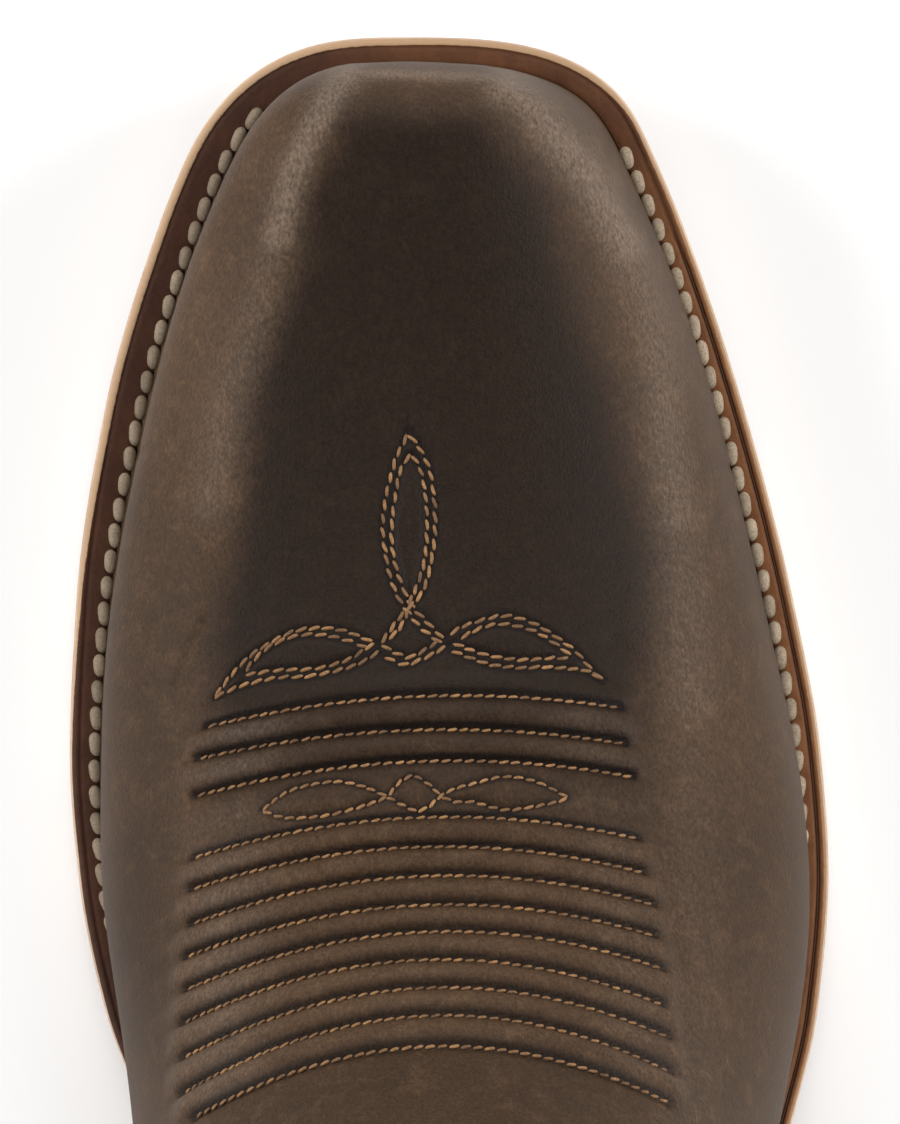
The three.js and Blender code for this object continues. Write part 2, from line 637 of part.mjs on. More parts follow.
// Piping along the side seam, from above the vamp to below the pull strap.
function sidePiping(side) {
  const seam = smoothEdge(seamRows, 60);
  const lowest = seamRows[1].up * shaftHeight + 3 * pipingRadius;
  const highest = shaftHeight + scallopRise - strapLength - 4 * pipingRadius;
  const path = seam.filter((p) => p.y > lowest && p.y < highest).filter((p, i) => i % 3 === 0);
  const centres = path.map((p) => {
    const x = signOf[side] * (halfAt(side, p.x, p.y) + gap + pipingRadius);
    return new THREE.Vector3(x, yOf(p.x), p.y);
  });
  const curve = new THREE.CatmullRomCurve3(centres);
  const rings = [];
  for (let i = 0; i < centres.length; i++) {
    const along = curve.getTangent(i / (centres.length - 1));
    const across = new THREE.Vector3(0, 1, 0).cross(along).normalize();
    const out = along.clone().cross(across).normalize();
    const ring = [];
    for (let k = 0; k < 8; k++) {
      const angle = ((k + 0.5) / 8) * 2 * Math.PI;
      ring.push(centres[i].clone()
        .addScaledVector(across, pipingRadius * Math.cos(angle))
        .addScaledVector(out, pipingRadius * Math.sin(angle)));
    }
    rings.push(ring);
  }
  return slab(rings);
}

// Binding folded over the collar's rim.
function collarBinding() {
  const low = topRow - bindingStations;
  const outer = gap + bindingThickness;
  const rim = [
    { t: low, grow: gap, rise: 0 },
    { t: low, grow: outer, rise: 0 },
    { t: topRow, grow: outer, rise: gap + bindingThickness / 2 },
    { t: topRow, grow: gap, rise: outer },
    { t: topRow, grow: -wall - gap, rise: outer },
    { t: topRow, grow: -wall - outer, rise: gap + bindingThickness / 2 },
    { t: low, grow: -wall - outer, rise: 0 },
    { t: low, grow: -wall - gap, rise: 0 },
    { t: topRow, grow: -wall - gap, rise: gap },
    { t: topRow, grow: gap, rise: gap },
  ];
  const hoops = rim.map(({ t, grow, rise }) => {
    return sectionRing(t, grow).map((p) => p.clone().setZ(p.z + rise));
  });
  const count = hoops[0].length;
  const rings = [];
  for (let i = 0; i < count; i++) rings.push(hoops.map((hoop) => hoop[i]));
  return solidFrom(rings.flat(), ringWalls(rim.length, count, true));
}

// Pull strap: up the outside, over in a loop and down the inside.
function pullStrap(side) {
  const middle = seamRows[seamRows.length - 1].along * soleLength;
  const rim = shaftHeight + scallopRise;
  const clear = bindingThickness + 2 * gap;
  const easing = 14;
  const across = [-0.5, -0.25, 0, 0.25, 0.5];
  const stations = [];
  for (const share of [0, 0.3, 0.6, 0.8, 1]) stations.push({ leg: "outside", share });
  for (const share of [0.08, 0.2, 0.34, 0.5, 0.66, 0.8, 0.92]) stations.push({ leg: "loop", share });
  for (const share of [1, 0.8, 0.6, 0.3, 0]) stations.push({ leg: "inside", share });
  const skinOut = (along, z) => halfAt(side, along, z);
  const skinIn = (along, z) => halfAt(side, along, z, -wall);
  const rings = stations.map(({ leg, share }) => {
    const row = (depth) => across.map((k) => {
      const along = middle + k * strapWidth;
      const z = rim - strapLength * (1 - share);
      const lift = gap + (clear - gap) * ease((z - (rim - 2.4 * easing)) / easing);
      if (leg === "outside") {
        return new THREE.Vector3(signOf[side] * (skinOut(along, z) + lift + depth), yOf(along), z);
      }
      if (leg === "inside") {
        return new THREE.Vector3(signOf[side] * (skinIn(along, z) - lift - depth), yOf(along), z);
      }
      const outer = skinOut(along, rim) + clear + depth;
      const inner = skinIn(along, rim) - clear - depth;
      const angle = share * Math.PI;
      const reach = (outer - inner) / 2 + loopSwell * Math.sin(angle);
      const x = (outer + inner) / 2 + reach * Math.cos(angle);
      const rise = (loopHeight - strapThickness + depth) * Math.sin(angle);
      return new THREE.Vector3(signOf[side] * x, yOf(along), rim + rise);
    });
    return [...row(0), ...row(strapThickness).reverse()];
  });
  return slab(rings);
}

// Materials and nodes.
const leather = { color: "#4a382b", roughness: 0.55, metalness: 0 };
const darkLeather = { color: "#33251c", roughness: 0.6, metalness: 0 };
const weltLeather = { color: "#5a3422", roughness: 0.6, metalness: 0 };
const soleLeather = { color: "#b89b83", roughness: 0.7, metalness: 0 };
const liftLeather = { color: "#4b2f20", roughness: 0.5, metalness: 0 };
const insoleLeather = { color: "#a9845c", roughness: 0.75, metalness: 0 };
const blackRubber = { color: "#1d1b1a", roughness: 0.85, metalness: 0 };

function nodeFrom(name, solid, finish) {
  const mesh = solid.getMesh();
  const flat = new Float32Array(mesh.numVert * 3);
  for (let i = 0; i < mesh.numVert; i++) {
    for (let k = 0; k < 3; k++) flat[3 * i + k] = mesh.vertProperties[mesh.numProp * i + k];
  }
  const geometry = new THREE.BufferGeometry();
  geometry.setAttribute("position", new THREE.BufferAttribute(flat, 3));
  geometry.setIndex(new THREE.BufferAttribute(new Uint32Array(mesh.triVerts), 1));
  geometry.computeVertexNormals();
  const node = new THREE.Mesh(geometry, new THREE.MeshStandardMaterial(finish));
  node.name = name;
  return node;
}

const boot = new THREE.Group();
boot.name = "western_boot";
boot.add(nodeFrom("outsole", outsole, soleLeather));
boot.add(nodeFrom("welt", welt, weltLeather));
boot.add(nodeFrom("heel_cap", heelCap, blackRubber));
levelLifts.forEach((lift, i) => boot.add(nodeFrom(`heel_lift_${i + 1}`, lift, liftLeather)));
boot.add(nodeFrom("heel_lift_4", wedgeLift, liftLeather));
boot.add(nodeFrom("insole", insole, insoleLeather));
boot.add(nodeFrom("upper", upper, leather));
boot.add(nodeFrom("counter", counter, leather));
boot.add(nodeFrom("side_piping_lateral", sidePiping("lateral"), darkLeather));
boot.add(nodeFrom("side_piping_medial", sidePiping("medial"), darkLeather));
boot.add(nodeFrom("collar_binding", collarBinding(), darkLeather));
boot.add(nodeFrom("pull_strap_lateral", pullStrap("lateral"), leather));
boot.add(nodeFrom("pull_strap_medial", pullStrap("medial"), leather));

export default boot;
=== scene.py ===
import math
import random

import bpy
import numpy as np
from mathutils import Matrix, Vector
from mathutils.bvhtree import BVHTree
from mathutils.kdtree import KDTree


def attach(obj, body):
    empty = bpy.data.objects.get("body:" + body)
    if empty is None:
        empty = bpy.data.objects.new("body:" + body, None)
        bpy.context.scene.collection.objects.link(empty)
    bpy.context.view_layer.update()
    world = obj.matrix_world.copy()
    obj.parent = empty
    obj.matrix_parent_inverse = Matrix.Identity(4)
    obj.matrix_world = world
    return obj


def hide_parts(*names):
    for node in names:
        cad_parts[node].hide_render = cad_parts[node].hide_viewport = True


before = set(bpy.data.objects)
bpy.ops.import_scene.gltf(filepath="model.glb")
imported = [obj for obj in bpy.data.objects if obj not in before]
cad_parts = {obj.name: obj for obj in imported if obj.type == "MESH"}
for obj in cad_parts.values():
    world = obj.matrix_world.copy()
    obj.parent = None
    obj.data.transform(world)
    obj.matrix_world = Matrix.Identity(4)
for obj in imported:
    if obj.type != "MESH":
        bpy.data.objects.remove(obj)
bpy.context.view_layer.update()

scene = bpy.context.scene
scene.view_settings.view_transform = "Standard"
MM = 0.001

# Sizes in millimetres, as in the CAD model. "Along" runs from the sole's toe tip to its heel.
SOLE_LENGTH = 306.0
BALL_WIDTH = 112.0
TOE_SPRING = 13.0
HEEL_HEIGHT = 38.5
SOLE_THICKNESS = 5.0
HEEL_LENGTH = 72.0
HEEL_TAPER = 3.6
HEEL_INSET = 0.8
CAP_THICKNESS = 6.4
LIFT_THICKNESS = 5.5
HEEL_CENTRE = 34.0
WELT_THICKNESS = 3.2
WELT_REACH = 5.4
WELT_INSET = 0.45
WALL = 2.4
OVERLAY = 1.2
SHAFT_HEIGHT = 304.0
SCALLOP = 38.0
SEAT_END = 301.0
GAP = 0.3
PIPING_RADIUS = 1.3
BINDING = 0.9
STRAP_LENGTH = 60.0
STRAP_WIDTH = 28.0
STRAP_THICKNESS = 2.0
LOOP_HEIGHT = 24.0
LOOP_SWELL = 6.0
TOE_TIP = 5.8
TOE_CENTRE = 6.4
NOSE_MIDDLE = 13.0
NOSE_DEPTH = 12.0
LIP_DEPTH = 2.0
TOE_CORNER_LEAST = 6.0
SIGN = {"lateral": -1.0, "medial": 1.0}
TOE_CORNER = {"lateral": 15.0, "medial": 20.0}
UPPER_CORNER = {"lateral": 11.5, "medial": 15.5}

# Powers of the roundings at the ends, and the rows where the heel's back and the collar's scallop begin.
TOE_POWER = 3
HEEL_POWER = 2.15
UPPER_TOE_POWER = 3.5
NOSE_POWER = 2.3
LIP_POWER = 2
SCALLOP_POWER = 1.15
HEEL_ROW = 13
TOP_ROW = 21
SCALLOP_ROW = HEEL_ROW + 3.5

OUTLINE = np.array([
    # along, lateral, medial
    (0.0, 0.194, 0.271), (0.088, 0.304, 0.38), (0.176, 0.386, 0.453), (0.271, 0.453, 0.492),
    (0.343, 0.488, 0.5), (0.399, 0.498, 0.489), (0.464, 0.483, 0.453), (0.523, 0.444, 0.389),
    (0.595, 0.386, 0.314), (0.67, 0.336, 0.271), (0.752, 0.309, 0.27), (0.85, 0.309, 0.298),
    (1.0, 0.309, 0.304),
])
TREAD = np.array([
    # along, toe, heel
    (0.0, 1, 0), (0.098, 0.46, 0), (0.196, 0.11, 0), (0.288, 0, 0), (0.386, 0, 0), (0.49, 0, 0.091),
    (0.605, 0, 0.351), (0.703, 0, 0.623), (0.784, 0, 0.805), (0.899, 0, 0.935), (1.0, 0, 1),
])
SECTIONS = np.array([
    # ridge, up, keel, keelUp, lateral, medial, weltLateral, weltMedial, lean, widest, crown, flank
    (0.017, 0.159, 0.017, 0, 0.144, 0.176, 1.2, 1.05, 0.054, 0.3, 3, 1),
    (0.088, 0.154, 0.088, 0, 0.247, 0.286, 1.08, 1.08, 0.054, 0.3, 2.9, 1),
    (0.176, 0.154, 0.176, 0, 0.334, 0.364, 1.06, 1.07, 0.054, 0.29, 2.8, 1),
    (0.271, 0.167, 0.271, 0, 0.397, 0.418, 1.03, 0.99, 0.049, 0.27, 2.6, 1),
    (0.343, 0.188, 0.343, 0, 0.44, 0.434, 1.06, 0.95, 0.042, 0.26, 2.4, 1),
    (0.399, 0.215, 0.412, 0, 0.455, 0.433, 1.3, 1.02, 0.036, 0.27, 2.25, 1.2),
    (0.448, 0.255, 0.477, 0, 0.437, 0.41, 1.5, 1.5, 0.028, 0.3, 2.15, 1.4),
    (0.49, 0.307, 0.556, 0, 0.398, 0.385, 1.3, 1.3, 0.022, 0.36, 2.1, 1.6),
    (0.523, 0.363, 0.641, 0, 0.368, 0.365, 1, 1, 0.014, 0.42, 2.05, 1.6),
    (0.546, 0.428, 0.725, 0, 0.347, 0.339, 0.85, 0.85, 0.006, 0.46, 2.05, 1.8),
    (0.56, 0.48, 0.81, 0, 0.339, 0.336, 0.81, 0.81, 0, 0.46, 2.1, 2),
    (0.569, 0.53, 0.889, 0, 0.332, 0.329, 0.81, 0.81, 0, 0.46, 2.1, 2.1),
    (0.574, 0.572, 0.948, 0, 0.326, 0.323, 0.81, 0.81, 0, 0.46, 2.1, 2.3),
    (0.577, 0.609, 0.984, 0, 0.323, 0.321, 0.81, 0.81, 0, 0.46, 2.1, 2.3),
    (0.578, 0.645, 0.992, 0.214, 0.321, 0.321, 0.81, 0.81, 0, 0.47, 2.1, 2.3),
    (0.578, 0.681, 0.993, 0.286, 0.321, 0.321, 0.81, 0.81, 0, 0.47, 2.1, 2.3),
    (0.576, 0.724, 0.981, 0.378, 0.325, 0.325, 0.81, 0.81, 0, 0.48, 2.1, 2.3),
    (0.572, 0.77, 0.969, 0.474, 0.332, 0.332, 0.81, 0.81, 0, 0.5, 2.15, 2.25),
    (0.564, 0.822, 0.969, 0.586, 0.344, 0.344, 0.81, 0.81, 0, 0.5, 2.2, 2.2),
    (0.552, 0.882, 0.977, 0.704, 0.357, 0.357, 0.81, 0.81, 0, 0.5, 2.2, 2.2),
    (0.539, 0.941, 0.99, 0.842, 0.371, 0.371, 0.81, 0.81, 0, 0.5, 2.2, 2.2),
    (0.524, 1, 1.003, 1, 0.384, 0.384, 0.81, 0.81, 0, 0.5, 2.2, 2.2),
])
SEAM = np.array([(0.7, 0.08), (0.706, 0.197), (0.726, 0.362), (0.748, 0.592), (0.762, 0.82), (0.768, 1.02)])
VAMP_EDGE = np.array([(0.706, 0.197), (0.668, 0.214), (0.634, 0.255), (0.608, 0.33), (0.592, 0.42),
                      (0.578, 0.51), (0.564, 0.56)])
COUNTER_EDGE = np.array([(0.706, 0.197), (0.76, 0.214), (0.83, 0.262), (0.9, 0.327), (0.96, 0.366),
                         (1.06, 0.375)])


def cubic_through(values):
    values = [float(v) for v in values]
    n = len(values)
    factor, carried, bend = [0.0] * n, [0.0] * n, [0.0] * n
    for i in range(1, n - 1):
        pivot = 4 - factor[i - 1]
        factor[i] = 1 / pivot
        carried[i] = (6 * (values[i + 1] - 2 * values[i] + values[i - 1]) - carried[i - 1]) / pivot
    for i in range(n - 2, 0, -1):
        bend[i] = carried[i] - factor[i] * bend[i + 1]
    values, bend = np.array(values), np.array(bend)

    def at(t):
        t = np.asarray(t, float)
        i = np.clip(np.floor(t).astype(int), 0, n - 2)
        b = t - i
        a = 1 - b
        curve = (a ** 3 - a) * bend[i] + (b ** 3 - b) * bend[i + 1]
        return a * values[i] + b * values[i + 1] + curve / 6
    return at


def monotone_through(stations, values):
    stations, values = np.asarray(stations, float), np.asarray(values, float)
    n = len(stations)
    step = np.diff(stations)
    rise = np.diff(values) / step
    slope = np.zeros(n)
    slope[0], slope[-1] = rise[0], rise[-1]
    for i in range(1, n - 1):
        if rise[i - 1] * rise[i] > 0:
            before, after = 2 * step[i] + step[i - 1], step[i] + 2 * step[i - 1]
            slope[i] = (before + after) / (before / rise[i - 1] + after / rise[i])

    def at(x):
        x = np.asarray(x, float)
        i = np.clip(np.searchsorted(stations, x, side="left") - 1, 0, n - 2)
        u = (x - stations[i]) / step[i]
        v = 1 - u
        ends = v * v * (1 + 2 * u) * values[i] + u * u * (3 - 2 * u) * values[i + 1]
        return ends + step[i] * (u * v * v * slope[i] - u * u * v * slope[i + 1])
    return at


def closure(distance, depth, power):
    u = np.clip(np.asarray(distance, float) / depth, 0, 1)
    return np.maximum(1 - (1 - u) ** power, 0) ** (1 / power)


def ease(u):
    v = np.clip(u, 0, 1)
    return v * v * (3 - 2 * v)


outline_share = {"lateral": monotone_through(OUTLINE[:, 0], OUTLINE[:, 1]),
                 "medial": monotone_through(OUTLINE[:, 0], OUTLINE[:, 2])}
tread_toe = monotone_through(TREAD[:, 0], TREAD[:, 1])
tread_heel = monotone_through(TREAD[:, 0], TREAD[:, 2])


def y_of(along):
    return along - SOLE_LENGTH + HEEL_CENTRE


def tread_z(along):
    share = np.clip(np.asarray(along, float) / SOLE_LENGTH, 0, 1)
    return TOE_SPRING * tread_toe(share) + HEEL_HEIGHT * tread_heel(share)


def deck_z(along):
    return tread_z(along) + SOLE_THICKNESS + GAP


def open_half(side, along):
    return BALL_WIDTH * outline_share[side](np.clip(np.asarray(along, float) / SOLE_LENGTH, 0, 1))


def outline_side(side, inset, steps, breast=0.0):
    length = SOLE_LENGTH - 2 * inset
    start = math.acos(1 - 2 * (breast - inset) / length) if breast > 0 else 0.0
    lead = 0.0 if breast > 0 else 0.5
    angle = start + (np.arange(steps) + lead) / (steps + lead - 0.5) * (math.pi - start)
    travelled = length * (1 - np.cos(angle)) / 2
    along = inset + travelled
    toe = closure(travelled, max(TOE_CORNER[side] - 0.7 * inset, TOE_CORNER_LEAST), TOE_POWER)
    heel = closure(length - travelled, HEEL_CENTRE - inset, HEEL_POWER)
    half = SIGN[side] * (open_half(side, along) - inset)
    return (TOE_CENTRE + (half - TOE_CENTRE) * toe) * heel, along


def outline_ring(inset, height, steps, breast=0.0):
    lx, ls = outline_side("lateral", inset, steps, breast)
    mx, ms = outline_side("medial", inset, steps, breast)
    x = np.concatenate([lx, mx[::-1]])
    s = np.concatenate([ls, ms[::-1]])
    z = height(s) if callable(height) else np.full(len(s), float(height))
    return np.stack([x, y_of(s), z], 1)


keel_z_seat = float(deck_z(SECTIONS[HEEL_ROW, 2] * SOLE_LENGTH))
ridge_along = cubic_through(SECTIONS[:, 0] * SOLE_LENGTH)
ridge_up = cubic_through(SECTIONS[:, 1] * SHAFT_HEIGHT)
keel_front = cubic_through(SECTIONS[:HEEL_ROW + 1, 2] * SOLE_LENGTH)
keel_back = cubic_through(SECTIONS[HEEL_ROW:, 2] * SOLE_LENGTH)
keel_back_up = cubic_through([keel_z_seat] + list(SECTIONS[HEEL_ROW + 1:, 3] * SHAFT_HEIGHT))
half_of = {"lateral": cubic_through(SECTIONS[:, 4] * BALL_WIDTH),
           "medial": cubic_through(SECTIONS[:, 5] * BALL_WIDTH)}
welt_of = {"lateral": cubic_through(SECTIONS[:, 6]), "medial": cubic_through(SECTIONS[:, 7])}
lean_of = cubic_through(SECTIONS[:, 8] * BALL_WIDTH)
widest_of = cubic_through(SECTIONS[:, 9])
crown_of = cubic_through(SECTIONS[:, 10])
flank_of = cubic_through(SECTIONS[:, 11])


def section_at(t, grow):
    """The sizes of the upper's section at a row, moved outwards by a distance."""
    ahead, behind = min(t + 0.01, TOP_ROW), max(t - 0.01, 0)
    run_s = float(ridge_along(ahead) - ridge_along(behind))
    run_z = float(ridge_up(ahead) - ridge_up(behind))
    run = math.hypot(run_s, run_z)
    level = float(ease((t - SCALLOP_ROW) / 2))
    out_s = (-run_z / run) * (1 - level) - level
    out_z = (run_s / run) * (1 - level)
    toe_shift = grow * max(1 - t, 0)
    on_sole = t < HEEL_ROW
    keel_s0 = float(keel_front(t) if on_sole else keel_back(t - HEEL_ROW))
    keel_z0 = float(deck_z(keel_s0) if on_sole else keel_back_up(t - HEEL_ROW))
    ridge = np.array([float(ridge_along(t)) - toe_shift + grow * out_s, float(ridge_up(t)) + grow * out_z])
    keel = np.array([keel_s0 - toe_shift + grow * float(ease(t - HEEL_ROW + 1)),
                     keel_z0 - grow * (1 - float(ease(t - HEEL_ROW)))])
    travelled = ridge[0] - (TOE_TIP - grow)
    nose = float(deck_z(TOE_TIP)) + NOSE_MIDDLE
    ridge[1] = nose + (ridge[1] - nose) * float(closure(travelled, NOSE_DEPTH + grow, NOSE_POWER))
    keel[1] = nose + (keel[1] - nose) * float(closure(travelled, LIP_DEPTH, LIP_POWER))
    up = ridge - keel
    height = float(np.hypot(*up))
    seat = float(closure(SEAT_END - keel_s0, HEEL_CENTRE, HEEL_POWER)) if on_sole else 0.0
    sec = {"keel": keel, "up": up / height, "height": height,
           "waist": float(widest_of(t)) * height, "lean": float(lean_of(t)),
           "crown": float(crown_of(t)), "flank": float(flank_of(t)),
           "lift": SCALLOP * float(ease((t - SCALLOP_ROW) / (TOP_ROW - SCALLOP_ROW)))}
    for side in SIGN:
        foot = float(open_half(side, keel_s0)) - WELT_REACH * float(welt_of[side](t)) + grow
        sec["feather_" + side] = foot * seat
        sec["half_" + side] = float(half_of[side](t)) + grow
        sec["toe_" + side] = float(closure(travelled, UPPER_CORNER[side] + grow, UPPER_TOE_POWER))
    return sec


CROWN_ANGLES = np.linspace(0, math.pi / 2, 90)
FLANK_ANGLES = np.linspace(0, math.pi / 2, 50)[1:]
CORNER_BLEND = 8.0


def section_side(t, grow, side, fractions):
    """Points of one side of a section, at fractions of its length from the ridge to the feather."""
    sec = section_at(t, grow)
    height, waist = sec["height"], sec["waist"]
    half, feather = sec["half_" + side], sec["feather_" + side]
    a, b = CROWN_ANGLES, FLANK_ANGLES
    x = np.concatenate([half * np.sin(a) ** (2 / sec["crown"]),
                        feather + (half - feather) * np.clip(np.cos(b), 0, 1) ** (2 / sec["flank"])])
    h = np.concatenate([waist + (height - waist) * np.clip(np.cos(a), 0, 1) ** (2 / sec["crown"]),
                        waist * (1 - np.sin(b) ** (2 / sec["flank"]))])
    run = np.concatenate([[0], np.cumsum(np.hypot(np.diff(x), np.diff(h)))])
    x, h = np.interp(fractions * run[-1], run, x), np.interp(fractions * run[-1], run, h)
    above = np.clip(h - waist, 0, None) / (height - waist)
    middle = (sec["toe_lateral"] + sec["toe_medial"]) / 2
    closing = middle + (sec["toe_" + side] - middle) * np.clip(x / CORNER_BLEND, 0, 1)
    across = SIGN[side] * x + sec["lean"] * above
    share = np.clip((h - grow) / (height - 2 * grow), 0, 1)
    s = sec["keel"][0] + sec["up"][0] * h
    z = sec["keel"][1] + sec["up"][1] * h + sec["lift"] * np.sin(math.pi * share) ** SCALLOP_POWER
    return np.stack([TOE_CENTRE + (across - TOE_CENTRE) * closing, y_of(s), z], 1)


class Skin:
    """The upper's form moved outwards by a distance: a point for each row and signed fraction of a side."""
    ROWS, COLUMNS, CROWDING = 520, 240, 1.6

    def __init__(self, grow):
        rows = TOP_ROW * (np.arange(self.ROWS + 1) / self.ROWS) ** self.CROWDING
        rows = np.clip(rows, 0.002, TOP_ROW)
        fractions = np.linspace(0, 1, self.COLUMNS + 1)
        self.table = {side: np.stack([section_side(t, grow, side, fractions) for t in rows]) for side in SIGN}

    def at(self, t, v):
        """v is -1 at the lateral feather, 0 on the ridge and 1 at the medial feather."""
        t, v = np.broadcast_arrays(np.asarray(t, float), np.asarray(v, float))
        place = (np.clip(t, 0, TOP_ROW) / TOP_ROW) ** (1 / self.CROWDING) * self.ROWS
        f = np.clip(place, 0, self.ROWS - 1e-9)
        g = np.clip(np.abs(v) * self.COLUMNS, 0, self.COLUMNS - 1e-9)
        i, j = f.astype(int), g.astype(int)
        a, b = (f - i)[..., None], (g - j)[..., None]
        out = np.zeros(t.shape + (3,))
        for side, mask in (("lateral", v < 0), ("medial", v >= 0)):
            table = self.table[side]
            near = table[i, j] * (1 - a) + table[i + 1, j] * a
            far = table[i, j + 1] * (1 - a) + table[i + 1, j + 1] * a
            out[mask] = (near * (1 - b) + far * b)[mask]
        return out


S_BASE = Skin(0.0)
S_OVER = Skin(OVERLAY)
S_IN = Skin(-WALL)


def skin_point(t, v, grow):
    """Points off the upper's form, outwards for a positive distance and into its wall for a negative one."""
    base = S_BASE.at(t, v)
    g = np.broadcast_to(np.asarray(grow, float), base.shape[:-1])[..., None]
    outward = (S_OVER.at(t, v) - base) / OVERLAY
    inward = (base - S_IN.at(t, v)) / WALL
    return base + np.where(g > 0, outward, inward) * g


# The view of the photograph: straight down over the ball of the foot, toe up.
FRAME_W, FRAME_H = 900.0, 1124.0
EYE = np.array([0.0, -195.6, 1100.0])
FOCAL = 7440.0
SENSOR = 36


def to_frame(p):
    depth = EYE[2] - p[..., 2]
    return np.stack([FRAME_W / 2 - (p[..., 0] - EYE[0]) * FOCAL / depth,
                     FRAME_H / 2 + (p[..., 1] - EYE[1]) * FOCAL / depth], -1)


cam_data = bpy.data.cameras.new("camera")
cam = bpy.data.objects.new("camera", cam_data)
scene.collection.objects.link(cam)
scene.camera = cam
cam.location = EYE * MM
cam.rotation_euler = (0, 0, math.pi)
cam_data.sensor_fit = "AUTO"
cam_data.sensor_width = SENSOR
cam_data.lens = FOCAL / FRAME_H * SENSOR
cam_data.clip_start = 0.05
cam_data.clip_end = 20


# Helpers for numbers and paths.
def unit(v):
    return v / np.linalg.norm(v, axis=-1, keepdims=True)


def bell(distance, width):
    return np.exp(-(distance / width) ** 2)


def hump(u, power):
    return np.sin(math.pi * np.clip(u, 0, 1)) ** power


def smoothed(values, reach):
    """Running means over each value and its neighbours within reach."""
    size = 2 * reach + 1
    return np.convolve(np.pad(values, reach, mode="edge"), np.ones(size) / size, mode="valid")


def run_of(points):
    """The distance travelled at each point of a path."""
    return np.concatenate([[0], np.cumsum(np.linalg.norm(np.diff(points, axis=0), axis=1))])


def at_run(where, run, points):
    return np.stack([np.interp(where, run, points[:, k]) for k in range(points.shape[1])], -1)


def smooth_line(points, step=1.0):
    """A curve through points, at even steps."""
    p = np.array(points, float)
    if len(p) == 2:
        n = max(int(np.hypot(*(p[1] - p[0])) / step), 1)
        return p[0] + (p[1] - p[0]) * np.linspace(0, 1, n + 1)[:, None]
    ext = np.vstack([2 * p[0] - p[1], p, 2 * p[-1] - p[-2]])
    dense = []
    u = np.linspace(0, 1, 16, endpoint=False)[:, None]
    for a, b, c, d in zip(ext[:-3], ext[1:-2], ext[2:-1], ext[3:]):
        dense.append(0.5 * (2 * b + (c - a) * u + (2 * a - 5 * b + 4 * c - d) * u ** 2
                            + (3 * b - a - 3 * c + d) * u ** 3))
    dense = np.vstack(dense + [p[-1:]])
    run = run_of(dense)
    n = max(int(round(run[-1] / step)), 1)
    return at_run(np.linspace(0, run[-1], n + 1), run, dense)


def inside_polygon(pts, poly):
    x, y = pts[:, 0], pts[:, 1]
    inside = np.zeros(len(pts), bool)
    for (x1, y1), (x2, y2) in zip(poly, np.roll(poly, -1, 0)):
        cross = (y1 > y) != (y2 > y)
        with np.errstate(divide="ignore", invalid="ignore"):
            inside ^= cross & (x < (x2 - x1) * (y - y1) / (y2 - y1) + x1)
    return inside


# Helpers for meshes.
def grid_faces(rows, columns, wrap=False):
    """Quads between rows of points, each row closed into a ring if it wraps."""
    idx = np.arange(rows * columns).reshape(rows, columns)
    nxt = np.roll(idx, -1, 1)
    quads = np.stack([idx[:-1], nxt[:-1], nxt[1:], idx[1:]], -1)
    return quads.reshape(-1, 4) if wrap else quads[:, :-1].reshape(-1, 4)


def capped_faces(rings, size):
    """Faces of a tube of rings with a cap at each end."""
    last = (rings - 1) * size
    caps = [list(range(size)), list(range(last + size - 1, last - 1, -1))]
    return grid_faces(rings, size, wrap=True).tolist() + caps


def grid_normals(points):
    n = np.cross(np.gradient(points, axis=0), np.gradient(points, axis=1))
    return n / np.maximum(np.linalg.norm(n, axis=-1, keepdims=True), 1e-12)


def outward_normals(points, t, v, grow):
    """Normals of a grid on the upper, all turned outwards."""
    normals = grid_normals(points)
    outward = skin_point(t, v, grow + 0.5) - points
    return normals * np.sign((normals * outward).sum(-1, keepdims=True))


def with_rows(t, v, grow, extra):
    """A grid of rows, fractions and distances, with rows added for its turned edge."""
    for t_row, distance in extra:
        t = np.vstack([t, np.broadcast_to(t_row, v[:1].shape)])
        grow = np.vstack([grow, np.full(v[:1].shape, distance)])
        v = np.vstack([v, v[:1]])
    return t, v, grow


def piece(name, verts, faces, material, replaces=(), sharp=None, attributes=None):
    """A mesh in millimetres that rides on the boot. Its attributes have a value for each point."""
    me = bpy.data.meshes.new(name)
    me.from_pydata((np.asarray(verts, float).reshape(-1, 3) * MM).tolist(), [], [list(f) for f in faces])
    me.validate()
    me.shade_smooth()
    if sharp is not None:
        me.set_sharp_from_angle(angle=math.radians(sharp))
    for key, values in (attributes or {}).items():
        layer = me.attributes.new(key, "FLOAT", "POINT")
        layer.data.foreach_set("value", np.asarray(values, np.float32).ravel())
    ob = bpy.data.objects.new(name, me)
    scene.collection.objects.link(ob)
    me.materials.append(material)
    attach(ob, "root")
    if replaces:
        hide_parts(*replaces)
    return ob


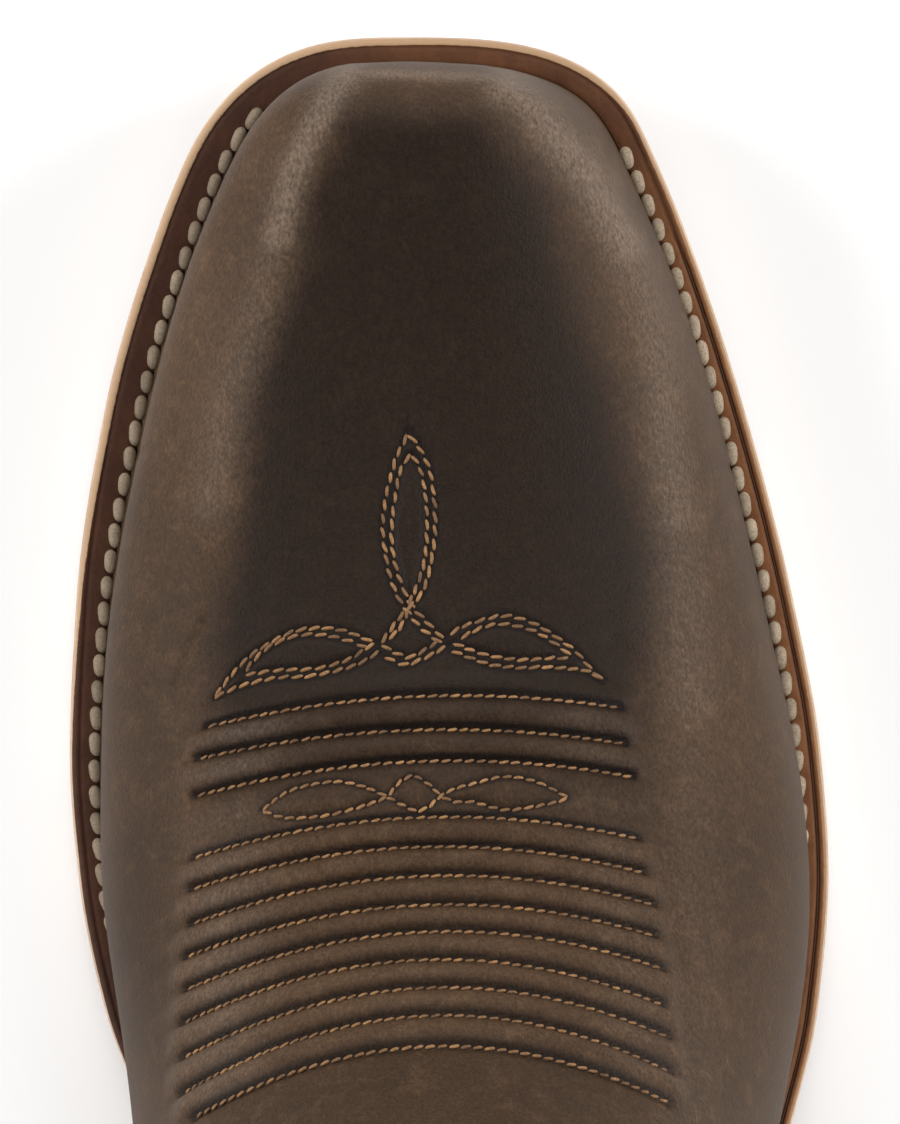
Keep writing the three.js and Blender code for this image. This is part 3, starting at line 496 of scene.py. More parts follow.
# Node materials.
class Nodes:
    """A material under way: each call adds a node and gives its output."""

    def __init__(self, name):
        self.mat = bpy.data.materials.new(name)
        self.mat.use_nodes = True
        self.tree = self.mat.node_tree
        self.shader = self.tree.nodes["Principled BSDF"]
        self.coords = self.add("ShaderNodeTexCoord").outputs["Object"]

    def add(self, kind, inputs=(), **values):
        node = self.tree.nodes.new(kind)
        for key, value in values.items():
            setattr(node, key, value)
        for key, item in dict(inputs).items():
            self.put(item, node.inputs[key])
        return node

    def put(self, item, socket):
        """Gives a socket a number, a colour or another node's output."""
        if isinstance(item, (int, float)):
            socket.default_value = item
        elif isinstance(item, tuple):
            socket.default_value = (*item, 1.0)
        else:
            self.tree.links.new(item, socket)

    def noise(self, scale, detail, rough, stretch=None, distortion=0.0, turn=0.0):
        coords = self.coords
        if stretch:
            mapping = self.add("ShaderNodeMapping", {"Vector": coords})
            mapping.inputs["Scale"].default_value = stretch
            mapping.inputs["Rotation"].default_value = (0, 0, math.radians(turn))
            coords = mapping.outputs["Vector"]
        return self.add("ShaderNodeTexNoise", {"Vector": coords, "Scale": scale, "Detail": detail, "Roughness": rough,
                                               "Distortion": distortion}).outputs["Fac"]

    def pores(self, scale):
        return self.add("ShaderNodeTexVoronoi", {"Vector": self.coords, "Scale": scale},
                        feature="DISTANCE_TO_EDGE").outputs["Distance"]

    def attribute(self, name):
        return self.add("ShaderNodeAttribute", attribute_name=name).outputs["Fac"]

    def math(self, op, a, b, clamp=False):
        return self.add("ShaderNodeMath", {0: a, 1: b}, operation=op, use_clamp=clamp).outputs[0]

    def remap(self, source, low, high, to_low=0.0, to_high=1.0):
        return self.add("ShaderNodeMapRange", {"Value": source, "From Min": low, "From Max": high,
                                               "To Min": to_low, "To Max": to_high}).outputs["Result"]

    def spread(self, source, to_low=0.0, to_high=1.0):
        """A noise, from its usual range to another."""
        return self.remap(source, 0.3, 0.7, to_low, to_high)

    def mix(self, factor, a, b, blend="MIX"):
        node = self.add("ShaderNodeMix", data_type="RGBA", blend_type=blend)
        colors = [s for s in node.inputs if s.type == "RGBA"]
        self.put(factor, [s for s in node.inputs if s.name == "Factor" and s.type == "VALUE"][0])
        self.put(a, colors[0])
        self.put(b, colors[1])
        return [s for s in node.outputs if s.type == "RGBA"][0]

    def patch(self, base, source, low, high, strength, color):
        """A colour laid over a base where a noise is high."""
        return self.mix(self.math("MULTIPLY", self.remap(source, low, high), strength), base, color)

    def bump(self, height, strength, distance, after=None):
        before = {} if after is None else {"Normal": after}
        return self.add("ShaderNodeBump", {"Strength": strength, "Distance": distance, "Height": height,
                                           **before}).outputs["Normal"]

    def finish(self, color, roughness, normal=None, specular=0.5):
        for key, item in (("Base Color", color), ("Roughness", roughness), ("Specular IOR Level", specular),
                          ("Normal", normal)):
            if item is not None:
                self.put(item, self.shader.inputs[key])
        return self.mat


def tint(r, g, b):
    """A colour in linear light, from 0 to 255 in each channel."""
    return tuple(((c / 255 + 0.055) / 1.055) ** 2.4 if c > 10 else c / 3295 for c in (r, g, b))


# The grey of the painted sheen laid on the leather.
SHEEN_PAINT_GREY = tint(128, 113, 100)
NAP_STRETCH, FIBRE_STRETCH, NAP_TURN = (1.0, 0.55, 1.0), (1.0, 0.5, 1.0), 32


def leather(name, dark, mid, light, toned=False, rough=0.54):
    """Waxed pull-up leather: softly mottled and napped; where toned, lighter or darker by a tone that holds painted
    highlight, painted shade and burnish, with a painted sheen in grey over it.
    """
    n = Nodes(name)
    clouds = n.noise(60, 4, 0.55)
    patches = n.noise(300, 4, 0.6, distortion=0.4)
    nap = n.noise(1900, 3, 0.65, stretch=NAP_STRETCH, turn=NAP_TURN)
    fibres = n.noise(3600, 2, 0.6, stretch=FIBRE_STRETCH, turn=NAP_TURN)
    base = n.mix(n.remap(clouds, 0.2, 0.8), tuple(0.82 * c for c in mid), tuple(1.2 * c for c in mid))
    base = n.patch(base, patches, 0.5, 0.85, 0.25, light)
    # Painted highlight where the tone is above zero, painted shade and burnish where it is below, then a painted
    # sheen.
    if toned:
        tone = n.attribute("tone")
        base = n.mix(n.math("MAXIMUM", tone, 0.0), base, light)
        base = n.mix(n.math("MULTIPLY", n.math("MINIMUM", tone, 0.0), -1.0), base, dark)
        painted_sheen = n.math("MULTIPLY", n.attribute("painted_sheen"), n.spread(nap, 0.7, 1.3), clamp=True)
        base = n.mix(painted_sheen, base, SHEEN_PAINT_GREY)
    shade = n.math("MULTIPLY", n.spread(nap, 0.74, 1.26), n.spread(fibres, 0.76, 1.24))
    combine = n.add("ShaderNodeCombineColor")
    for socket in combine.inputs[:3]:
        n.put(shade, socket)
    base = n.mix(1.0, base, combine.outputs[0], "MULTIPLY")
    wear = n.math("ADD", n.math("MULTIPLY", patches, 0.5), n.math("MULTIPLY", nap, 0.5))
    bump = n.bump(n.remap(n.pores(1700), 0.0, 0.35), 0.2, 0.0002)
    bump = n.bump(nap, 0.25, 0.0003, bump)
    bump = n.bump(fibres, 0.2, 0.00015, bump)
    bump = n.bump(clouds, 0.1, 0.002, bump)
    return n.finish(base, n.spread(wear, rough - 0.05, rough + 0.08), bump, specular=0.1)


upper_leather = leather("upper_leather", tint(20, 13, 9), tint(58, 42, 28), tint(118, 92, 69), toned=True)
counter_leather = leather("counter_leather", tint(18, 13, 9), tint(54, 39, 26), tint(104, 78, 54), toned=True)
strap_leather = leather("strap_leather", tint(25, 18, 14), tint(60, 45, 34), tint(100, 80, 60), rough=0.5)
trim_leather = leather("trim_leather", tint(20, 14, 11), tint(38, 28, 22), tint(66, 50, 38), rough=0.45)


def welt_finish():
    """Stained welt with a raw outer edge and a groove, darker on the inner side of the foot and in the groove with
    painted shade.
    """
    n = Nodes("welt_leather")
    clouds = n.noise(150, 5, 0.65)
    fibre = n.noise(1100, 4, 0.7)
    streak = n.noise(500, 4, 0.7, stretch=(1.0, 0.25, 1.0))
    lit_side = n.mix(n.spread(clouds), tint(86, 52, 30), tint(112, 72, 42))
    shaded_side = n.mix(n.spread(clouds), tint(46, 26, 17), tint(62, 37, 24))
    base = n.mix(n.attribute("lit_side"), shaded_side, lit_side)
    base = n.patch(base, streak, 0.45, 0.8, 0.4, tint(62, 34, 20))
    groove = n.math("ADD", n.attribute("groove"), n.spread(clouds, -0.3, 0.15))
    # Painted shade in the groove.
    base = n.mix(n.remap(groove, 0.25, 0.95), base, tint(62, 38, 24))
    ragged = n.math("ADD", n.attribute("edge"), n.spread(fibre, -0.2, 0.2))
    raw = n.mix(n.attribute("lit_side"), tint(156, 128, 100), tint(130, 100, 70))
    base = n.mix(n.remap(ragged, 0.35, 0.7), base, raw)
    return n.finish(base, n.spread(fibre, 0.5, 0.72), n.bump(fibre, 0.35, 0.0004), specular=0.12)


def sole_finish(name, dark, light, fleck):
    """Pressed leather with layers that show along its edge."""
    n = Nodes(name)
    clouds = n.noise(70, 5, 0.6)
    layers = n.noise(420, 4, 0.65, stretch=(1.0, 1.0, 5.0))
    fibre = n.noise(1500, 3, 0.7)
    base = n.mix(n.spread(clouds), dark, light)
    base = n.patch(base, layers, 0.5, 0.75, 0.5, fleck)
    base = n.patch(base, fibre, 0.45, 0.8, 0.35, fleck)
    bump = n.bump(fibre, 0.25, 0.0003, n.bump(layers, 0.3, 0.0005))
    return n.finish(base, n.spread(fibre, 0.6, 0.8), bump, specular=0.25)


sole_leather = sole_finish("sole_leather", tint(162, 134, 112), tint(186, 162, 140), tint(132, 102, 78))
lift_leather = sole_finish("lift_leather", tint(62, 38, 26), tint(88, 56, 38), tint(40, 24, 17))
insole_leather = sole_finish("insole_leather", tint(166, 130, 92), tint(190, 156, 116), tint(138, 104, 70))


def plain_finish(name, dark, light, fleck, clouds, grain, over, rough, depth):
    """Two mottled colours and a third over them by a finer noise, which is also the bump."""
    n = Nodes(name)
    fine = n.noise(*grain)
    base = n.mix(n.spread(n.noise(clouds, 4, 0.6)), dark, light)
    base = n.patch(base, fine, *over, fleck)
    return n.finish(base, n.spread(fine, *rough), n.bump(fine, 0.3, depth))


lining_leather = plain_finish("lining_leather", tint(150, 112, 74), tint(184, 146, 104), tint(120, 86, 56),
                              60, (700, 4, 0.7), (0.4, 0.75, 0.5), (0.62, 0.82), 0.0004)
cap_rubber = plain_finish("cap_rubber", tint(24, 22, 21), tint(40, 37, 35), tint(62, 58, 54),
                          90, (1400, 3, 0.7), (0.5, 0.8, 0.3), (0.7, 0.9), 0.0003)


def thread_finish(name, dark, mid, light, rough=0.55):
    n = Nodes(name)
    strands = n.noise(3200, 2, 0.6)
    base = n.mix(n.spread(n.noise(420, 3, 0.6)), mid, light)
    # Each stitch darkened by its own value, which on the welt's medial beads is painted shade.
    base = n.mix(n.math("MULTIPLY", n.attribute("each"), 0.6), base, dark)
    base = n.patch(base, strands, 0.45, 0.75, 0.55, dark)
    return n.finish(base, rough, n.bump(strands, 0.4, 0.0002), specular=0.3)


gold_thread = thread_finish("gold_thread", tint(46, 30, 19), tint(108, 76, 47), tint(158, 117, 73))
cream_thread = thread_finish("cream_thread", tint(66, 52, 38), tint(134, 118, 98), tint(160, 144, 122), rough=0.7)

# The outsole and the heel.
SOLE_STEPS, HEEL_STEPS = 230, 90
BREAST = SOLE_LENGTH - HEEL_LENGTH
OUTSOLE_PROFILE = [  # inset, rise above the tread
    (7.5, 0.0), (6.9, 0.25), (6.3, 0.0), (1.1, 0.0), (0.62, 0.1), (0.24, 0.38), (0.05, 0.8), (0.0, 1.3),
    (0.0, 3.9), (0.08, 4.4), (0.22, 4.75), (0.45, 4.95), (0.8, 5.0), (3.0, 5.0)]


def slab_piece(name, rings, material, node):
    """Stacked rings, with a strip of quads across the first and the last."""
    size = len(rings[0])
    last = (len(rings) - 1) * size
    faces = grid_faces(len(rings), size, wrap=True).tolist()
    for i in range(size // 2 - 1):
        p, q = size - 1 - i, size - 2 - i
        faces += [(i, p, q, i + 1), (last + i, last + i + 1, last + q, last + p)]
    piece(name, np.vstack(rings), faces, material, [node], sharp=40)


outsole_rings = [outline_ring(inset, lambda s: tread_z(s) + rise, SOLE_STEPS) for inset, rise in OUTSOLE_PROFILE]
slab_piece("outsole_leather", outsole_rings, sole_leather, "outsole")


def heel_ring(z, rounding):
    inset = HEEL_INSET + HEEL_TAPER * (1 - z / HEEL_HEIGHT) + rounding
    return outline_ring(inset, z, HEEL_STEPS, BREAST)


def seat_ring(rounding, rise):
    return outline_ring(HEEL_INSET + rounding, lambda s: tread_z(s) - GAP + rise, HEEL_STEPS, BREAST)


EDGE_ROUNDING = [(0.0, 0.55), (0.12, 0.2), (0.4, 0.0)]  # height in from the face, rounding


def heel_piece(name, low, high, material):
    """One layer of the heel. A layer with no top of its own reaches up to the sole."""
    rings = [heel_ring(low + z, rounding) for z, rounding in EDGE_ROUNDING]
    if high is None:
        foot, top = rings[-1], seat_ring(0.0, 0.0)
        rings += [foot * (1 - share) + top * share for share in (0.25, 0.5, 0.75, 0.97)]
        rings.append(seat_ring(0.4, 0.12))
    else:
        rings.append(heel_ring((low + high) / 2, 0.0))
        rings += [heel_ring(high - z, rounding) for z, rounding in EDGE_ROUNDING[::-1]]
    slab_piece(name + "_layer", rings, material, name)


heel_piece("heel_cap", 0.0, CAP_THICKNESS, cap_rubber)
level = CAP_THICKNESS + GAP
for k in (1, 2, 3):
    heel_piece("heel_lift_%d" % k, level, level + LIFT_THICKNESS, lift_leather)
    level += LIFT_THICKNESS + GAP
heel_piece("heel_lift_4", level, None, lift_leather)

# The vamp.
SIDE_SIZES = np.array([SOLE_LENGTH, SHAFT_HEIGHT])
edge_line = smooth_line(VAMP_EDGE * SIDE_SIZES, 1.0)
counter_line = smooth_line(COUNTER_EDGE * SIDE_SIZES, 1.0)
seam_line = smooth_line(SEAM * SIDE_SIZES, 1.5)
SEAM_FOOT = float(SEAM[1, 0] * SOLE_LENGTH)
TONGUE_TOP = float(VAMP_EDGE[-1, 1] * SHAFT_HEIGHT)


def along_of(p):
    return p[..., 1] + SOLE_LENGTH - HEEL_CENTRE


def vamp_limit(v):
    """The row at which the vamp ends, for each signed fraction of a side."""
    t = np.linspace(7.6, 13.0, 900)
    p = S_OVER.at(t[:, None], v[None, :])
    limit = np.interp(p[..., 2], edge_line[:, 1], edge_line[:, 0])
    past = (along_of(p) >= limit) | (p[..., 2] >= TONGUE_TOP)
    return t[np.argmax(past, 0)]


def arc_rows(t0, t1, spacing):
    """Rows at even distances along the ridge."""
    t = np.linspace(t0, t1, 1500)
    run = run_of(S_OVER.at(t, np.zeros_like(t)))
    return np.interp(np.linspace(0, run[-1], int(math.ceil(run[-1] / spacing)) + 1), run, t)


# Columns are closer between the fractions of FINE_V, and rows between the ones of FINE_ROWS, for the stitching.
FINE_V, FINE_ROWS, FINE_STEP = 0.52, (2.2, 7.5), 0.46
v_axis = np.concatenate([np.linspace(-1, -FINE_V, 37)[:-1], np.linspace(-FINE_V, FINE_V, 181),
                         np.linspace(FINE_V, 1, 37)[1:]])
t_limit = smoothed(vamp_limit(v_axis), 4)
toe_rows = 0.004 + (FINE_ROWS[0] - 0.004) * np.linspace(0, 1, 62)[:-1] ** 1.35
even_part = np.concatenate([toe_rows, arc_rows(*FINE_ROWS, FINE_STEP)])
tail = np.linspace(0, 1, 58)[1:]
T = np.vstack([np.repeat(even_part[:, None], len(v_axis), 1),
               FINE_ROWS[1] + (t_limit - FINE_ROWS[1])[None, :] * tail[:, None]])
T, V, G = with_rows(T, np.repeat(v_axis[None, :], len(T), 0), np.full(T.shape, OVERLAY),
                    [(t_limit + 0.006, 1.02), (t_limit + 0.012, 0.55), (t_limit + 0.012, 0.05)])
vamp_points = skin_point(T, V, G)
vamp_normals = outward_normals(vamp_points, T, V, G)
at_frame = to_frame(vamp_points)
FX, FY = at_frame[..., 0], at_frame[..., 1]

# Rows of stitching across the instep: three points of each in the frame of the photograph.
ROWS = [((208, 727), (413, 697), (618, 708)), ((199, 759), (431, 730), (623, 744)),
        ((197, 796), (441, 761), (632, 777)), ((195, 858), (419, 818), (637, 839)),
        ((194, 889), (441, 847), (642, 873)), ((193, 924), (441, 876), (652, 905)),
        ((188, 957), (448, 905), (653, 936)), ((189, 989), (441, 932), (661, 969)),
        ((185, 1023), (441, 960), (661, 1005)), ((186, 1057), (441, 988), (666, 1037)),
        ((185, 1093), (452, 1016), (668, 1072)), ((196, 1117), (467, 1047), (668, 1103))]


class Row:
    def __init__(self, points):
        (self.left, _), _, (self.right, _) = points
        self.curve = np.polyfit([p[0] for p in points], [p[1] for p in points], 2)

    def at(self, x):
        return np.polyval(self.curve, x)

    def path(self):
        x = np.arange(self.left, self.right + 0.5, 1.0)
        return np.stack([x, self.at(x)], 1)


# The large stitched figure: a leaf, a diamond where its strands cross, and two wings, all in double rows.
LEAF = [
    [(408, 434), (401, 448), (396, 458), (391.6, 474), (387, 491.6), (384.3, 508), (382.9, 524), (383.5, 540.6),
     (386, 556), (389, 572), (394, 587.6), (400, 601), (409.4, 614), (419.6, 627), (431.8, 636.5), (442, 644.7)],
    [(408, 434), (415.5, 443), (423.7, 456), (430, 472), (433, 491.6), (434.9, 508), (434.9, 524), (434.5, 540),
     (431.8, 556), (429, 572), (424.3, 587.6), (417.6, 599), (406.3, 610), (397, 621), (387, 634.5), (380.8, 643.7)],
    [(411.4, 454), (404, 463), (399, 475), (396, 492.7), (393.5, 508), (392, 524), (391.6, 540.6), (394, 558),
     (397.8, 573), (403.7, 589.6), (410.4, 604), (421.6, 617), (433, 628.4), (444, 639.6)],
    [(411.4, 454), (417, 463), (421.6, 474), (424.7, 491.6), (426.7, 509), (427, 526), (426.3, 543.7), (424.3, 562),
     (420, 577), (413.5, 593.7), (408, 606), (405.3, 618), (399, 629), (388, 639.6)],
]
DIAMOND = [
    [(380.8, 643.7), (391, 651), (403, 656), (409.4, 658), (419.6, 653), (431.8, 645.7), (439, 640.6)],
    [(383.9, 656), (395, 662), (406.3, 665), (417.6, 661), (433, 654), (447, 645.7)],
]
LEFT_WING = [
    [(214, 698), (228.8, 679), (240, 666), (253, 654), (267.6, 644.7), (281.8, 636.5), (296, 631), (312.4, 628.4),
     (328.8, 628.4), (344, 631), (359.4, 636.5), (372.7, 642.7)],
    [(245, 672), (257, 657), (269.6, 646.7), (284, 639.6), (298, 635.5), (312.4, 634.5), (326.7, 635.5),
     (341, 638.6), (354.3, 642.7), (367.6, 648.8)],
    [(244, 675), (253, 674), (266.5, 671.6), (283, 670), (299, 669.6), (314.5, 669), (328.8, 666), (345, 661),
     (357, 655), (366.5, 648), (375.7, 643.7)],
    [(214, 698), (224.7, 692.7), (239, 686.5), (253, 682.4), (269.6, 679), (286, 677), (302, 677), (316.5, 675),
     (330.8, 672), (344, 669), (356, 665), (367.6, 659), (379.8, 651)],
]
RIGHT_WING = [
    [(449.6, 634.5), (461.8, 627), (476, 622), (490.4, 618), (504.7, 615.7), (521, 619), (536.3, 625),
     (550.6, 633.5), (563.9, 642.7), (576, 652), (586, 664), (594.5, 673), (602.7, 680.4)],
    [(459.8, 638.6), (474, 631), (487, 626), (502.7, 624), (516, 626), (531, 630), (545.5, 637.6), (558.8, 646.7),
     (571, 656)],
    [(451.6, 642.7), (461.8, 646.7), (476, 652), (490.4, 656), (508.8, 659), (525, 660), (541.4, 659),
     (555.7, 658), (569, 659)],
    [(451.6, 650), (461.8, 655), (476, 660), (491.4, 665), (508.8, 667), (525, 668), (540.4, 667), (555.7, 667.6),
     (571, 669), (584, 670), (594.5, 675), (602.7, 680.4)],
]
# The small figure between the third and fourth rows, in single rows.
SMALL = [
    [(262, 811), (290, 791), (332, 782), (360, 786), (385, 796), (400, 804), (417, 812)],
    [(262, 811), (286, 818), (324, 816), (354, 809), (375, 802), (388, 796), (400, 782), (413, 775)],
    [(413, 775), (428, 784), (441, 796), (455, 802), (473, 802), (490, 807), (511, 810), (553, 803), (568, 798)],
    [(417, 812), (430, 806), (441, 796), (455, 789), (473, 784), (504, 777), (536, 782), (568, 798)],
]
FIELDS = [
    [(408, 434), (384, 508), (383, 541), (400, 601), (408, 610), (418, 599), (435, 540), (434, 500), (424, 456)],
    LEFT_WING[0] + LEFT_WING[3][:0:-1],
    RIGHT_WING[0] + RIGHT_WING[3][::-1],
    [(262, 811), (290, 791), (332, 782), (360, 786), (385, 796), (375, 802), (354, 809), (324, 816), (286, 818)],
    [(441, 796), (473, 784), (504, 777), (536, 782), (568, 798), (553, 803), (511, 810), (473, 804)],
    [(413, 775), (441, 796), (417, 812), (388, 796)],
]

rows = [Row(p) for p in ROWS]
FIGURE = LEAF + DIAMOND + LEFT_WING + RIGHT_WING

# Relief and tone of the vamp near the stitching: painted highlight on the crests, painted sheen near the rib ends,
# and painted shade along the stitch rows, their holes and the figures. Rises are in millimetres, places in the frame.
SMALL_BAND = 2  # the flat band that holds the small figure
RIB_RISE, BAND_RISE = 1.25, 0.4
RIB_HIGHLIGHT, BAND_HIGHLIGHT = 0.2, 0.05
RIB_SHEEN, BAND_SHEEN = 0.13, 0.07
STITCH_SINK, HOLE_SINK, FIGURE_SINK, FIELD_RISE, LIP_RISE = 0.45, 0.35, 0.35, 0.35, 0.35
END_FADE, LIP_BAND = 24.0, 24.0

near = np.abs(V) < 0.6
flat_xy = np.stack([FX[near], FY[near]], 1)
x, y = flat_xy[:, 0], flat_xy[:, 1]
lift, tone, rib_sheen = np.zeros(len(x)), np.zeros(len(x)), np.zeros(len(x))


def distance_to(paths):
    pts = np.vstack([smooth_line(p, 1.0) for p in paths])
    kd = KDTree(len(pts))
    for i, point in enumerate(pts):
        kd.insert((*point, 0), i)
    kd.balance()
    return np.array([kd.find((*point, 0))[2] for point in flat_xy])


def row_span(a, b):
    """1 between the ends of two rows, fading out past them."""
    left, right = (a.left + b.left) / 2, (a.right + b.right) / 2
    return ease((x - left + END_FADE) / END_FADE) * ease((right + END_FADE - x) / END_FADE)


for k, (above, below) in enumerate(zip(rows[:-1], rows[1:])):
    plain = k == SMALL_BAND
    u = (y - above.at(x)) / (below.at(x) - above.at(x))
    inside = (u > 0) & (u < 1)
    shape = hump(u, 0.7) * row_span(above, below)
    lift += np.where(inside, (BAND_RISE if plain else RIB_RISE) * shape, 0)
    # Painted highlight on the crest of each rib and band.
    tone += np.where(inside, (BAND_HIGHLIGHT if plain else RIB_HIGHLIGHT) * shape, 0)
    ends = bell(x - above.left - 38, 45) + 0.5 * bell(above.right - 30 - x, 40)
    # Painted sheen near the ends of each rib.
    rib_sheen += np.where(inside, (BAND_SHEEN if plain else RIB_SHEEN) * ends * hump(u, 2), 0)
for row in rows:
    ends = ease((x - row.left + 6) / 6) * ease((row.right + 6 - x) / 6)
    lift -= STITCH_SINK * bell(y - row.at(x), 3.6) * ends
    # A painted shadow along the toe side of each stitch row.
    tone -= 0.85 * bell(y - row.at(x) + 2.5, 3.8) * ends
    for end in (row.left - 4, row.right + 4):
        hole = bell(np.hypot(x - end, y - row.at(end)), 2.6)
        lift -= HOLE_SINK * hole
        # Painted shade in each hole.
        tone -= 0.8 * hole
u = (rows[0].at(x) - y) / LIP_BAND
lift += np.where((u > 0) & (u < 1), LIP_RISE * hump(u, 0.8) * row_span(rows[0], rows[0]), 0)
double, single = distance_to(FIGURE), distance_to(SMALL)
for distance, width, darker in ((double, 3.2, 0.75), (single, 3.4, 0.7)):
    lift -= FIGURE_SINK * bell(distance, width)
    # Painted shade along the figures' stitch lines.
    tone -= darker * bell(distance, width)
for field in FIELDS:
    inside = inside_polygon(flat_xy, smooth_line(list(field) + [field[0]], 2.0))
    lift += np.where(inside, FIELD_RISE * np.clip(np.minimum(double, single) / 10.0, 0, 1) ** 0.7, 0)
LIFT, TONE, PAINTED_SHEEN = np.zeros(T.shape), np.zeros(T.shape), np.zeros(T.shape)
LIFT[near], TONE[near], PAINTED_SHEEN[near] = lift, tone, rib_sheen

# The darkened top of the vamp, between its two shoulders, partly burnished and partly painted shade: places in the
# frame as y, x.
LEFT_SHOULDER = np.array([(60, 330), (100, 322), (140, 335), (200, 300), (260, 298), (330, 266), (400, 246),
                          (480, 242), (560, 232), (640, 208), (700, 212), (1124, 190)])
RIGHT_SHOULDER = np.array([(60, 480), (100, 500), (140, 508), (200, 556), (260, 572), (330, 590), (400, 620),
                           (480, 632), (560, 664), (640, 655), (700, 645), (1124, 690)])
left, right = [np.interp(FY, line[:, 0], line[:, 1]) for line in (LEFT_SHOULDER, RIGHT_SHOULDER)]
burnish_and_shade = ease((FX - left) / 60 + 0.5) * ease((right - FX) / 80 + 0.5)
TONE -= 0.85 * burnish_and_shade * (ease((FY - 70) / 70) * (1 - 0.8 * ease((FY - 660) / 240)))
# Soft ridges with a painted sheen along them, and soft troughs where it creases:
# places in the frame, width, how much painted sheen, and rise in millimetres.
RIDGES = [
    ([(349, 76), (329, 99), (310, 137), (291, 187), (280, 241)], 15, 0.34, 0.5),
    ([(280, 241), (255, 330), (228, 420), (215, 500)], 22, 0.12, 0.25),
    ([(505, 88), (527, 104), (560, 143), (593, 187), (626, 252)], 20, 0.36, 0.5),
    ([(626, 252), (653, 329), (666, 430), (676, 520)], 24, 0.2, 0.3),
    ([(676, 520), (684, 600), (690, 700)], 30, 0.12, 0.15), ([(690, 700), (692, 1124)], 34, 0.05, 0.0),
    ([(335, 82), (360, 75), (420, 75), (490, 79)], 5, 0.3, 0.15),
    ([(207, 620), (190, 652), (178, 680)], 7, 0.0, -0.4), ([(612, 640), (634, 662), (650, 690)], 8, 0.0, -0.3),
    ([(136, 452), (172, 468), (214, 466)], 6, 0.0, -0.2), ([(640, 470), (690, 478), (735, 466)], 7, 0.0, -0.2)]
for path, width, painted_sheen_amount, rise in RIDGES:
    away = np.full(T.shape, 1e3)
    for px, py in smooth_line(path, 6.0):
        away = np.minimum(away, np.hypot(FX - px, FY - py))
    PAINTED_SHEEN = np.maximum(PAINTED_SHEEN, painted_sheen_amount * bell(away, width))
    LIFT += rise * bell(away, width) * np.clip(T / 0.25, 0, 1)
# Places in the frame, their sizes, and how much lighter or darker they are.
CLOUDS = [(190, 330, 60, 150, 0.10), (300, 150, 60, 60, 0.05), (400, 72, 160, 16, 0.05), (215, 400, 28, 120, 0.04),
          (330, 1000, 150, 60, 0.08), (150, 760, 40, 180, -0.25), (140, 980, 50, 120, -0.3),
          (740, 950, 60, 160, -0.15), (60, 500, 60, 200, 0.05), (440, 1090, 160, 40, -0.05)]
for cx, cy, sx, sy, strength in CLOUDS:
    TONE += strength * np.exp(-((FX - cx) / sx) ** 2 - ((FY - cy) / sy) ** 2)
TONE += 0.1 * np.clip((along_of(vamp_points) - 150) / 60, 0, 1)
vamp_points = vamp_points + vamp_normals * LIFT[..., None]
vamp = piece("vamp", vamp_points, grid_faces(*T.shape), upper_leather, ["upper"],
             attributes={"tone": TONE, "painted_sheen": PAINTED_SHEEN})
VAMP_TREE = BVHTree.FromPolygons([v.co.copy() for v in vamp.data.vertices],
                                 [tuple(p.vertices) for p in vamp.data.polygons])


def wobble(p, scale, seed):
    """Smooth waves over a surface, from sums of sines."""
    rng = np.random.default_rng(seed)
    total = np.zeros(p.shape[:-1])
    for _ in range(7):
        direction = unit(rng.normal(size=3))
        total += np.sin((p @ direction) / scale * rng.uniform(0.6, 1.6) + rng.uniform(0, 2 * math.pi))
    return total / 7


def even_rows(points, t):
    """Rows of points with the crease where the seat turns into the back of the heel smoothed out."""
    share = 0.5 * bell(np.asarray(t, float) - HEEL_ROW, 0.8)[1:-1].reshape((-1,) + (1,) * (points.ndim - 1))
    points = points.copy()
    for _ in range(160):
        points[1:-1] += share * ((points[:-2] + points[2:]) / 2 - points[1:-1])
    return points


# The shaft, with a turned top edge, and its lining.
shaft_t = np.concatenate([np.linspace(6.2, HEEL_ROW, 70)[:-1], np.linspace(HEEL_ROW, TOP_ROW, 110)])
ST, SV = np.meshgrid(shaft_t, np.linspace(-1, 1, 221), indexing="ij")
ST, SV, SG = with_rows(ST, SV, np.zeros(ST.shape), [(TOP_ROW, -0.6), (TOP_ROW, -1.2), (TOP_ROW - 0.25, -1.2)])
shaft_points = even_rows(skin_point(ST, SV, SG), ST[:, 0])
shaft_normals = outward_normals(shaft_points, ST, SV, SG)
calm = np.clip((ST - 8.5) / 2, 0, 1) * np.clip((20.4 - ST) / 1.5, 0, 1)
shaft_points = shaft_points + shaft_normals * (0.9 * wobble(shaft_points, 22.0, 5) * calm)[..., None]
piece("shaft", shaft_points, grid_faces(*ST.shape), upper_leather, ["upper"],
      attributes={"tone": 0.25 * wobble(shaft_points, 30.0, 9)})

lining_t = np.concatenate([np.linspace(TOP_ROW - 0.25, TOP_ROW, 3), np.linspace(TOP_ROW, 0.02, 240)])
LT, LV = np.meshgrid(lining_t, np.linspace(-1, 1, 161), indexing="ij")
lining_depth = np.where(np.arange(len(lining_t)) < 3, -1.3, -WALL)
piece("lining", skin_point(LT, LV, np.repeat(lining_depth[:, None], LT.shape[1], 1)), grid_faces(*LT.shape),
      lining_leather, ["upper"], sharp=60)

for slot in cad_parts["insole"].material_slots:
    slot.material = insole_leather

# The counter, wrapped round the heel from seam to seam. V_END is just short of the feather.
COUNTER_SPAN, COUNTER_ROWS, V_END = (8.4, 17.5), 190, 0.9999


def counter_limit(t, drop=0.0):
    """Where the counter, or a line below its edge, starts on each row, and whether the row has any of it."""
    v = np.linspace(0, 1, 1200)
    p = S_OVER.at(t[:, None], v[None, :])
    s = along_of(p)
    top = np.interp(s, counter_line[:, 0], counter_line[:, 1]) - drop
    covered = (s >= SEAM_FOOT + GAP + drop) & (p[..., 2] <= top)
    some = covered.any(1)
    return np.where(some, v[np.argmax(covered, 1)], 1.0), some


